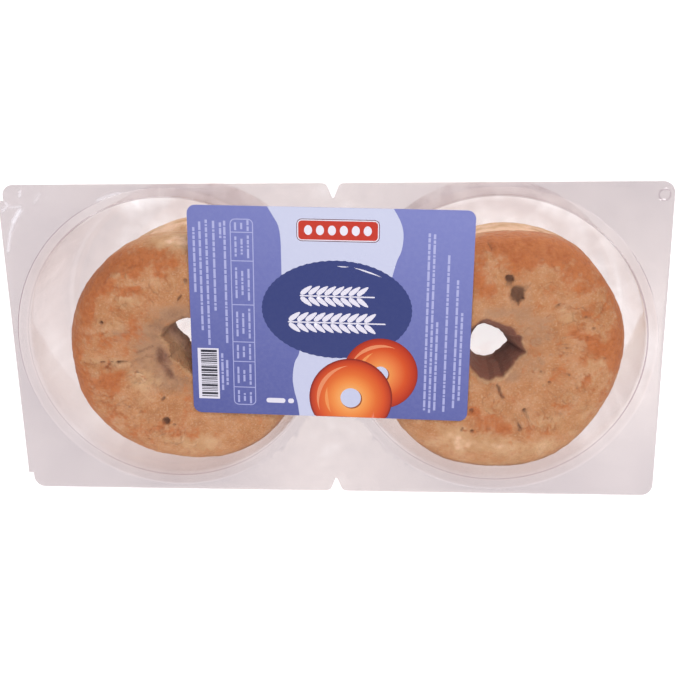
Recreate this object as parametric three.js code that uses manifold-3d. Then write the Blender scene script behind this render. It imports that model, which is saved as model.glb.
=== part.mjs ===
// Twin pack of four bagels: a clear formed tray with two round wells, two bagels stacked in each
// well, a clear film sealed over the flange, and a label on the film.
//
// Millimetres, +Z up. The pack lies on the flat floors of its wells with the label up, its long
// side along X. The origin is at the middle of the footprint, on the surface the floors rest on.

import * as THREE from 'three';
import { mergeVertices } from 'three/addons/utils/BufferGeometryUtils.js';
import Module from 'manifold-3d';

const wasm = await Module();
wasm.setup();

// Driving dimensions of the pack.
const PACK_LENGTH = 282;
const PACK_WIDTH = 140;
const TRAY_SHEET = 0.6;
const FILM_SHEET = 0.3;
const LABEL_SHEET = 0.3;
const CLEARANCE = 0.3;

// Outline of flange and film: rounded right corners, left corners that a punch cut deeper so that
// a small spur of the straight cut stands out, and a V notch in the middle of each long side.
const CORNER_RADIUS = 5;
const SPUR_STEP = 2.2;
const SPUR_LENGTH = 2;
const NOTCH_DEPTH = 6.2;
const NOTCH_SHOULDER = 5.4;
const NOTCH_APEX_HALF_WIDTH = 0.4;

// Each well: a shallow seal step round a deeper cup with a slight draft and a rounded foot.
const WELL_X = 0.505 * PACK_WIDTH;
const STEP_RADIUS = 68.2;
const STEP_DEPTH = 1.6;
const STEP_SLOPE = 0.5;
const MOUTH_RADIUS = 63.8;
const MOUTH_ROUNDING = 0.8;
const WALL_DRAFT = THREE.MathUtils.degToRad(2);
const FOOT_ROUNDING = 4;
const WELL_SEGMENTS = 48;
const FLANGE_OVERLAP = 0.5;

// Bagels.
const BAGEL_HEIGHT = 29.8;
const WALL_GAP = 0.5;
const AROUND = 48;
const SECTION = 14;
const SECTION_SQUARENESS = 0.74;
const CROWN_SQUARENESS = 0.8;
const BASE_SQUARENESS = 0.55;
const CROWN_WAVE = 0.5;

// Label: a rounded rectangle, stuck on a little askew and nearer to the +Y side.
const LABEL_LENGTH = 122;
const LABEL_WIDTH = 94.5;
const LABEL_CORNER = 3.6;
const LABEL_X = 0.2;
const LABEL_Y = 13;
const LABEL_TURN = THREE.MathUtils.degToRad(-0.9);

// Heights that follow from the stack in a well.
const LOWER_BAGEL_Z = TRAY_SHEET + CLEARANCE;
const UPPER_BAGEL_Z = LOWER_BAGEL_Z + BAGEL_HEIGHT + CLEARANCE;
const FLANGE_TOP = UPPER_BAGEL_Z + BAGEL_HEIGHT + CLEARANCE;
const FILM_Z = FLANGE_TOP + CLEARANCE;
const LABEL_Z = FILM_Z + FILM_SHEET + CLEARANCE;

// Radius of the cup's inner wall at a height.
const wallRadius = (z) => {
  const below = FLANGE_TOP - STEP_DEPTH - z;
  return MOUTH_RADIUS - Math.max(0, below) * Math.tan(WALL_DRAFT);
};

// The four bagels. `middle` is measured from the axis of the well: all lean towards the same side
// of it. `bulges` give the outline's waves: crests round the ring, size, and the angle of a crest.
// `hole` is measured from the bagel's own middle. Dents are soft hollows in the top face, measured
// from the bagel's middle; `run` is a second end where the dent is a crease.
const BAGELS = [
  {
    name: 'bagel_right_upper', well: 1, bottom: UPPER_BAGEL_Z, seed: 3,
    middle: [1.8, -9.1], radius: 54.1,
    bulges: [[2, 1, 51], [3, 0.3, 21], [4, 0.25, 35], [5, 0.35, 17]],
    hole: { at: [-2.5, 5.1], waist: 10.8, flare: 3.4 },
    dents: [
      { at: [1.7, 29], spread: 6, depth: 0.9 },
      { at: [2.5, -17], run: [4, -11], spread: 3.5, depth: 1.2 },
      { at: [9.5, -25], run: [25, -20], spread: 6, depth: 0.6 },
    ],
  },
  {
    name: 'bagel_left_upper', well: -1, bottom: UPPER_BAGEL_Z, seed: 11,
    middle: [4.1, -8.4], radius: 53.7,
    bulges: [[2, 0.3, -38], [3, 0.25, -28], [4, 0.45, 30], [5, 0.1, 3]],
    hole: { at: [4.6, 3.9], waist: 10.8, flare: 3.2 },
    dents: [
      { at: [-13.7, -2], run: [-7.2, -12], spread: 4.5, depth: 3.2 },
      { at: [-40, -2.2], run: [-24, -2.2], spread: 3.5, depth: 1 },
      { at: [-33, 25], run: [-10, 37], spread: 4, depth: 1 },
      { at: [-9, -29], spread: 4.5, depth: 0.8 },
    ],
  },
  {
    name: 'bagel_right_lower', well: 1, bottom: LOWER_BAGEL_Z, seed: 29,
    middle: [3.2, -8.6], radius: 53.2,
    bulges: [[2, 0.5, 120], [3, 0.4, 80], [5, 0.2, 10]],
    hole: { at: [-5, -4.6], waist: 8.8, flare: 2.4 },
    dents: [],
  },
  {
    name: 'bagel_left_lower', well: -1, bottom: LOWER_BAGEL_Z, seed: 37,
    middle: [5.4, -7.8], radius: 52.8,
    bulges: [[2, 0.5, 70], [3, 0.4, 15], [4, 0.3, 50]],
    hole: { at: [4.8, 1], waist: 6.8, flare: 2.4 },
    dents: [],
  },
];

const material = (color, roughness, opacity = 1) => new THREE.MeshStandardMaterial({
  color, roughness, metalness: 0, transparent: opacity < 1, opacity,
});
const TRAY_PLASTIC = material('#dcd6dc', 0.08, 0.3);
const FILM_PLASTIC = material('#e8e4ea', 0.12, 0.2);
const LABEL_PAPER = material('#7f84c4', 0.45);
const BAGEL_CRUST = material('#be8a60', 0.7);

// A repeatable stream of numbers from 0 to 1.
function seededRandom(seed) {
  let state = seed * 2654435761 % 4294967296;
  return () => {
    state = (state * 1664525 + 1013904223) % 4294967296;
    return state / 4294967296;
  };
}

// A smooth, seeded unevenness round a ring: waves with 2 to `most` crests, weaker as they shorten.
function seededBulges(random, most, size) {
  const bulges = [];
  for (let crests = 2; crests <= most; crests += 1) {
    bulges.push([crests, (size * (0.4 + random())) / crests, 360 * random()]);
  }
  return bulges;
}

// Height of a set of bulges at an angle round the ring.
const ringWave = (bulges, angle) => bulges.reduce((sum, [crests, size, peak]) => (
  sum + size * Math.cos(crests * (angle - THREE.MathUtils.degToRad(peak)))), 0);

// A power curve that squares off a circle's sine or cosine when the power is below 1.
const squared = (value, power) => Math.sign(value) * Math.abs(value) ** power;

// Depth of a bagel's dents at a point of its top face.
function dentDepth(dents, x, y) {
  let depth = 0;
  for (const dent of dents) {
    const [endX, endY] = dent.run ?? dent.at;
    const runX = endX - dent.at[0];
    const runY = endY - dent.at[1];
    const length2 = runX * runX + runY * runY;
    const along = length2 === 0 ? 0
      : THREE.MathUtils.clamp(((x - dent.at[0]) * runX + (y - dent.at[1]) * runY) / length2, 0, 1);
    const away = Math.hypot(x - dent.at[0] - along * runX, y - dent.at[1] - along * runY);
    depth += dent.depth * Math.exp(-((away / dent.spread) ** 2));
  }
  return depth;
}

// One bagel: a closed ring between an uneven outer loop and an off-centre hole, domed above,
// flatter below, pressed flat where it meets its neighbours and the wall of the well.
function bagelGeometry(bagel) {
  const random = seededRandom(bagel.seed);
  const holeBulges = seededBulges(random, 5, 1.6);
  const crownBulges = seededBulges(random, 6, 1.4);
  const half = BAGEL_HEIGHT / 2;
  const topLimit = bagel.bottom + BAGEL_HEIGHT;
  const positions = [];
  for (let i = 0; i < AROUND; i += 1) {
    const angle = (i / AROUND) * 2 * Math.PI;
    const outer = bagel.radius + ringWave(bagel.bulges, angle);
    const waist = bagel.hole.waist + ringWave(holeBulges, angle);
    for (let j = 0; j < SECTION; j += 1) {
      const turn = (j / SECTION) * 2 * Math.PI;
      const above = Math.sin(turn) > 0;
      const across = squared(Math.cos(turn), SECTION_SQUARENESS);
      const up = squared(Math.sin(turn), above ? CROWN_SQUARENESS : BASE_SQUARENESS);
      const share = (1 + across) / 2;
      const inner = waist + bagel.hole.flare * (0.5 + 0.5 * up) * (1 - share);
      const x = (bagel.hole.at[0] + inner * Math.cos(angle)) * (1 - share)
        + outer * Math.cos(angle) * share;
      const y = (bagel.hole.at[1] + inner * Math.sin(angle)) * (1 - share)
        + outer * Math.sin(angle) * share;
      let z = bagel.bottom + half + half * up;
      if (above) {
        z += (CROWN_WAVE * ringWave(crownBulges, angle) - dentDepth(bagel.dents, x, y)) * up;
      }
      z = THREE.MathUtils.clamp(z, bagel.bottom, topLimit);
      const axisX = x + bagel.middle[0];
      const axisY = y + bagel.middle[1];
      const limit = wallRadius(z) - WALL_GAP;
      const pull = Math.min(1, limit / Math.hypot(axisX, axisY));
      positions.push(bagel.well * WELL_X + axisX * pull, axisY * pull, z);
    }
  }
  const index = [];
  const at = (i, j) => (i % AROUND) * SECTION + (j % SECTION);
  for (let i = 0; i < AROUND; i += 1) {
    for (let j = 0; j < SECTION; j += 1) {
      index.push(at(i, j), at(i + 1, j), at(i + 1, j + 1));
      index.push(at(i, j), at(i + 1, j + 1), at(i, j + 1));
    }
  }
  const geometry = new THREE.BufferGeometry();
  geometry.setAttribute('position', new THREE.Float32BufferAttribute(positions, 3));
  geometry.setIndex(index);
  return geometry;
}

// The cut outline that flange and film share, drawn anticlockwise.
function packOutline() {
  const right = PACK_LENGTH / 2;
  const far = PACK_WIDTH / 2;
  const punched = -right + SPUR_STEP;
  const spur = far - CORNER_RADIUS - SPUR_LENGTH;
  const shape = new THREE.Shape();
  shape.moveTo(-right, -spur);
  shape.lineTo(punched, -spur);
  shape.lineTo(punched, -far + CORNER_RADIUS);
  shape.absarc(punched + CORNER_RADIUS, -far + CORNER_RADIUS, CORNER_RADIUS, Math.PI, 1.5 * Math.PI);
  addNotch(shape, 1);
  shape.absarc(right - CORNER_RADIUS, -far + CORNER_RADIUS, CORNER_RADIUS, -Math.PI / 2, 0);
  shape.absarc(right - CORNER_RADIUS, far - CORNER_RADIUS, CORNER_RADIUS, 0, Math.PI / 2);
  addNotch(shape, -1);
  shape.absarc(punched + CORNER_RADIUS, far - CORNER_RADIUS, CORNER_RADIUS, Math.PI / 2, Math.PI);
  shape.lineTo(punched, spur);
  shape.lineTo(-right, spur);
  return shape;
}

// The notch of the near side (way = 1) or the far side (way = -1): two rounded shoulders that
// fall to an apex on the pack's middle.
function addNotch(shape, way) {
  const edge = (-way * PACK_WIDTH) / 2;
  const apex = edge + way * NOTCH_DEPTH;
  const bend = edge + way * 0.25 * NOTCH_DEPTH;
  shape.lineTo(-way * NOTCH_SHOULDER, edge);
  shape.quadraticCurveTo(-way * 0.55 * NOTCH_SHOULDER, edge, -way * 0.42 * NOTCH_SHOULDER, bend);
  shape.lineTo(-way * NOTCH_APEX_HALF_WIDTH, apex);
  shape.lineTo(way * NOTCH_APEX_HALF_WIDTH, apex);
  shape.lineTo(way * 0.42 * NOTCH_SHOULDER, bend);
  shape.quadraticCurveTo(way * 0.55 * NOTCH_SHOULDER, edge, way * NOTCH_SHOULDER, edge);
}

function sheetGeometry(shape, thickness, z, curveSegments) {
  const geometry = new THREE.ExtrudeGeometry(shape, {
    depth: thickness, bevelEnabled: false, curveSegments, steps: 1,
  });
  geometry.translate(0, 0, z);
  return geometry;
}

// Flat flange with an opening over each well.
function flangeGeometry() {
  const shape = packOutline();
  for (const side of [-1, 1]) {
    const opening = new THREE.Path();
    opening.absarc(side * WELL_X, 0, STEP_RADIUS + FLANGE_OVERLAP, 0, 2 * Math.PI, true);
    shape.holes.push(opening);
  }
  return sheetGeometry(shape, TRAY_SHEET, FLANGE_TOP - TRAY_SHEET, WELL_SEGMENTS / 2);
}

// One well as a thin turned shell, from the flange over the seal step and down to the floor.
function wellGeometry() {
  const floor = TRAY_SHEET;
  const ledge = FLANGE_TOP - STEP_DEPTH;
  const footRadius = wallRadius(floor + FOOT_ROUNDING);
  const rim = STEP_RADIUS + 2 * FLANGE_OVERLAP;
  const inside = [
    [rim, FLANGE_TOP],
    [STEP_RADIUS, FLANGE_TOP],
    [STEP_RADIUS - STEP_SLOPE, ledge],
    [MOUTH_RADIUS + MOUTH_ROUNDING, ledge],
    [MOUTH_RADIUS, ledge - MOUTH_ROUNDING],
  ];
  const outside = [
    [rim, FLANGE_TOP - TRAY_SHEET],
    [STEP_RADIUS + 0.4 * TRAY_SHEET, FLANGE_TOP - TRAY_SHEET],
    [STEP_RADIUS - STEP_SLOPE + 0.4 * TRAY_SHEET, ledge - TRAY_SHEET],
    [MOUTH_RADIUS + MOUTH_ROUNDING + 0.4 * TRAY_SHEET, ledge - TRAY_SHEET],
    [MOUTH_RADIUS + TRAY_SHEET, ledge - MOUTH_ROUNDING - 0.4 * TRAY_SHEET],
  ];
  const footSteps = 2;
  for (let i = 0; i <= footSteps; i += 1) {
    const turn = (i / footSteps) * Math.PI / 2;
    const middle = footRadius - FOOT_ROUNDING;
    const drop = 1 - Math.sin(turn);
    const reach = Math.cos(turn);
    inside.push([middle + FOOT_ROUNDING * reach, floor + FOOT_ROUNDING * drop]);
    const outer = FOOT_ROUNDING + TRAY_SHEET;
    outside.push([middle + outer * reach, floor + FOOT_ROUNDING - outer * (1 - drop)]);
  }
  inside.push([0, floor]);
  outside.push([0, floor - TRAY_SHEET]);
  const profile = [...outside.reverse(), ...inside].map(([r, z]) => new THREE.Vector2(r, z));
  const geometry = new THREE.LatheGeometry(profile, WELL_SEGMENTS);
  geometry.rotateX(Math.PI / 2);
  return geometry;
}

// Three.js geometry to a manifold solid and back.
function toSolid(geometry) {
  const bare = geometry.index ? geometry.clone() : geometry;
  bare.deleteAttribute('normal');
  bare.deleteAttribute('uv');
  const merged = mergeVertices(bare, 1e-4);
  return new wasm.Manifold(new wasm.Mesh({
    numProp: 3,
    vertProperties: new Float32Array(merged.attributes.position.array),
    triVerts: new Uint32Array(merged.index.array),
  }));
}

function toGeometry(solid) {
  const mesh = solid.getMesh();
  const geometry = new THREE.BufferGeometry();
  geometry.setAttribute('position', new THREE.Float32BufferAttribute(mesh.vertProperties, 3));
  geometry.setIndex(Array.from(mesh.triVerts));
  return geometry;
}

function trayGeometry() {
  let tray = toSolid(flangeGeometry());
  for (const side of [-1, 1]) {
    tray = tray.add(toSolid(wellGeometry().translate(side * WELL_X, 0, 0)));
  }
  return toGeometry(tray);
}

function filmGeometry() {
  return sheetGeometry(packOutline(), FILM_SHEET, FILM_Z, 5);
}

function labelGeometry() {
  const half = LABEL_LENGTH / 2;
  const far = LABEL_WIDTH / 2;
  const corner = LABEL_CORNER;
  const shape = new THREE.Shape();
  shape.absarc(half - corner, far - corner, corner, 0, Math.PI / 2);
  shape.absarc(-half + corner, far - corner, corner, Math.PI / 2, Math.PI);
  shape.absarc(-half + corner, -far + corner, corner, Math.PI, 1.5 * Math.PI);
  shape.absarc(half - corner, -far + corner, corner, 1.5 * Math.PI, 2 * Math.PI);
  return sheetGeometry(shape, LABEL_SHEET, 0, 5);
}

const pack = new THREE.Group();

function addPiece(name, geometry, look) {
  const mesh = new THREE.Mesh(geometry, look);
  mesh.name = name;
  pack.add(mesh);
  return mesh;
}

addPiece('tray', trayGeometry(), TRAY_PLASTIC);
for (const bagel of BAGELS) {
  addPiece(bagel.name, bagelGeometry(bagel), BAGEL_CRUST);
}
addPiece('lid_film', filmGeometry(), FILM_PLASTIC);
const label = addPiece('label', labelGeometry(), LABEL_PAPER);
label.position.set(LABEL_X, LABEL_Y, LABEL_Z);
label.rotation.z = LABEL_TURN;

export default pack;
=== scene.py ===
"""Twin pack of plain bagels: a clear formed tray, the film sealed over it, a printed label on the
film and four baked bagels inside.

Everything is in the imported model's own frame, +Z up. Blender's unit is the metre; sizes that a
maker gives in millimetres are written in millimetres and scaled by MM where a mesh is made.
"""

import math

import bmesh
import bpy
import numpy as np
from mathutils import Matrix, Vector, noise
from mathutils.geometry import delaunay_2d_cdt


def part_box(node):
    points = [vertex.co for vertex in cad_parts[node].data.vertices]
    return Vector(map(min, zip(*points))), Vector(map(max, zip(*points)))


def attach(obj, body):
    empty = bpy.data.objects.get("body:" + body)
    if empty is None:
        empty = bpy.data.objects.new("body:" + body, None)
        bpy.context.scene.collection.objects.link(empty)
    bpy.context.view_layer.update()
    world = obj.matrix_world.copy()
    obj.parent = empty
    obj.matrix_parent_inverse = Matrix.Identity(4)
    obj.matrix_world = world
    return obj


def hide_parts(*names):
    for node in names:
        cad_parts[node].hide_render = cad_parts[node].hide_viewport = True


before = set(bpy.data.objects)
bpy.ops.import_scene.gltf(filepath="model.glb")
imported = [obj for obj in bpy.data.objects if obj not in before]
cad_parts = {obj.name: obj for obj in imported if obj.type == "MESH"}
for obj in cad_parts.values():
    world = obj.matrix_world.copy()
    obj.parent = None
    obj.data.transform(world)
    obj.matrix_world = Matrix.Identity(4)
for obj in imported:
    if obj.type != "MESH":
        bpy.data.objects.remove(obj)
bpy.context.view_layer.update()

MM = 0.001
PER_MM = 1000

# ---- Pack sizes, millimetres. Heights and the outline come from the frame's nodes. ----

TRAY_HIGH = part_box("tray")[1] / MM
FILM_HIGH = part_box("lid_film")[1] / MM
LABEL_LOW, LABEL_HIGH = (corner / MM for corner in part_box("label"))

HALF_LENGTH = TRAY_HIGH.x
HALF_WIDTH = TRAY_HIGH.y
PACK_CORNERS = ((-HALF_LENGTH, -HALF_WIDTH), (HALF_LENGTH, HALF_WIDTH))
FLANGE_TOP = TRAY_HIGH.z
TRAY_SHEET = 0.5
FILM_SHEET = 0.12
LABEL_SHEET = 0.18

CORNER_RADIUS = 5
SPUR_STEP = 2.2
SPUR_LENGTH = 2
NOTCH_DEPTH = 6.2
NOTCH_SHOULDER = 5.4
NOTCH_APEX_HALF_WIDTH = 0.4
# Where the curves of a notch end and how far they are pulled, as shares of its shoulder, and how
# deep they end, as a share of its depth.
NOTCH_NECK = 0.42
NOTCH_PULL = 0.55
NOTCH_NECK_DEPTH = 0.25
# Each notch's place along X, by the way that it points: 1 to +Y, -1 to -Y.
NOTCH_X = {1: 0.9, -1: 2}

# The wells stand half a pack's width and a little more from the middle.
WELL_X = 0.505 * 2 * HALF_WIDTH
STEP_RADIUS = 68.2
STEP_DEPTH = 1.6
STEP_SLOPE = 0.5
MOUTH_RADIUS = 63.8
MOUTH_ROUNDING = 0.8
WALL_DRAFT = math.radians(2)
FOOT_ROUNDING = 4
# The sheet is calm at a well's step and uneven in full at this distance from it.
CALM_REACH = 8

# ---- Bagel sizes and marks ----
# Millimetres and degrees from each bagel's own middle, +Y towards the long side that the label
# sits nearer to. A table by angle is (degrees, value) pairs and is read in between.
#   well      side of the pack, 1 or -1
#   around    points round the ring; section: points round its section
#   middle    place in its well
#   bulges    waves of its edge: crests, height, angle of the first crest
#   outline   by angle, added to the radius
#   hole      at: its middle at the mouth; flare: how far the mouth opens; lean: shift of its foot;
#             fade: how fast the lip's shape is lost below; wall shade: how much painted shade
#             darkens its wall, less of it giving painted light instead;
#             waist: its narrow radius by angle
#   lip       torn edge of the hole by angle, from the hole's middle
#   torn      how pale and ragged that edge is, by angle; its paleness is partly a painted highlight
#   rim       how deeply the bagel's edge is baked, by angle
#   dents     x and y of two ends, spread, depth
#   pits      burst bubbles: x, y, length, width, turn, depth, tone
#   blisters  raised skin: x, y, radius
#   folds     x and y of two ends, width, height (negative where it sinks), tone, strength
#   lace      clusters of small blisters: x, y, half length, half width, turn, how many
#   seams     pale lines round the side: height from -1 to 1, thickness
#   patches   under each tone: x, y, half length, half width, turn, strength
# The tones: baked is orange; pale is floury, and is painted light too where a side or a hole's wall
# is lit less than it looks; ash is greyed by steam round the hole, and partly painted shade round
# the lip; mark is dark and broken, and partly painted shade in pits, furrows and wrinkles; hollow is
# the hole's brown wall and the dimples by it, darkened as painted shade.

BAGEL_HEIGHT = 29.8
WALL_GAP = 0.5
SECTION_HALF_WIDTH = 21
HOLE_UNEVENNESS = 0.8
CROWN_UNEVENNESS = 0.7
# Form of the section's sides, top, underside and lip round the hole: 1 is round, less is squarer.
SECTION_SQUARENESS = 0.74
CROWN_SQUARENESS = 0.8
BASE_SQUARENESS = 0.55
LIP_SQUARENESS = 0.17

# Small blisters of the lace: the least radius, how much larger they get, width of the broken rim.
LACE_RADIUS = 0.7
LACE_GROWTH = 1.5
LACE_RIM = 0.45

# Grains of the crust: blob size, place in the noise, octaves, height; all but the last shape it.
GRAINS = {
    "swell": (14, 0, 1, 0.4),
    "lump": (6, 4, 3, 0.22),
    "wrinkle": (3.4, 9, 2, 0.1),
    "grain": (1.5, 21, 2, 0.09),
    "fleck": (4.6, 40, 3, 0),
}

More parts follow.
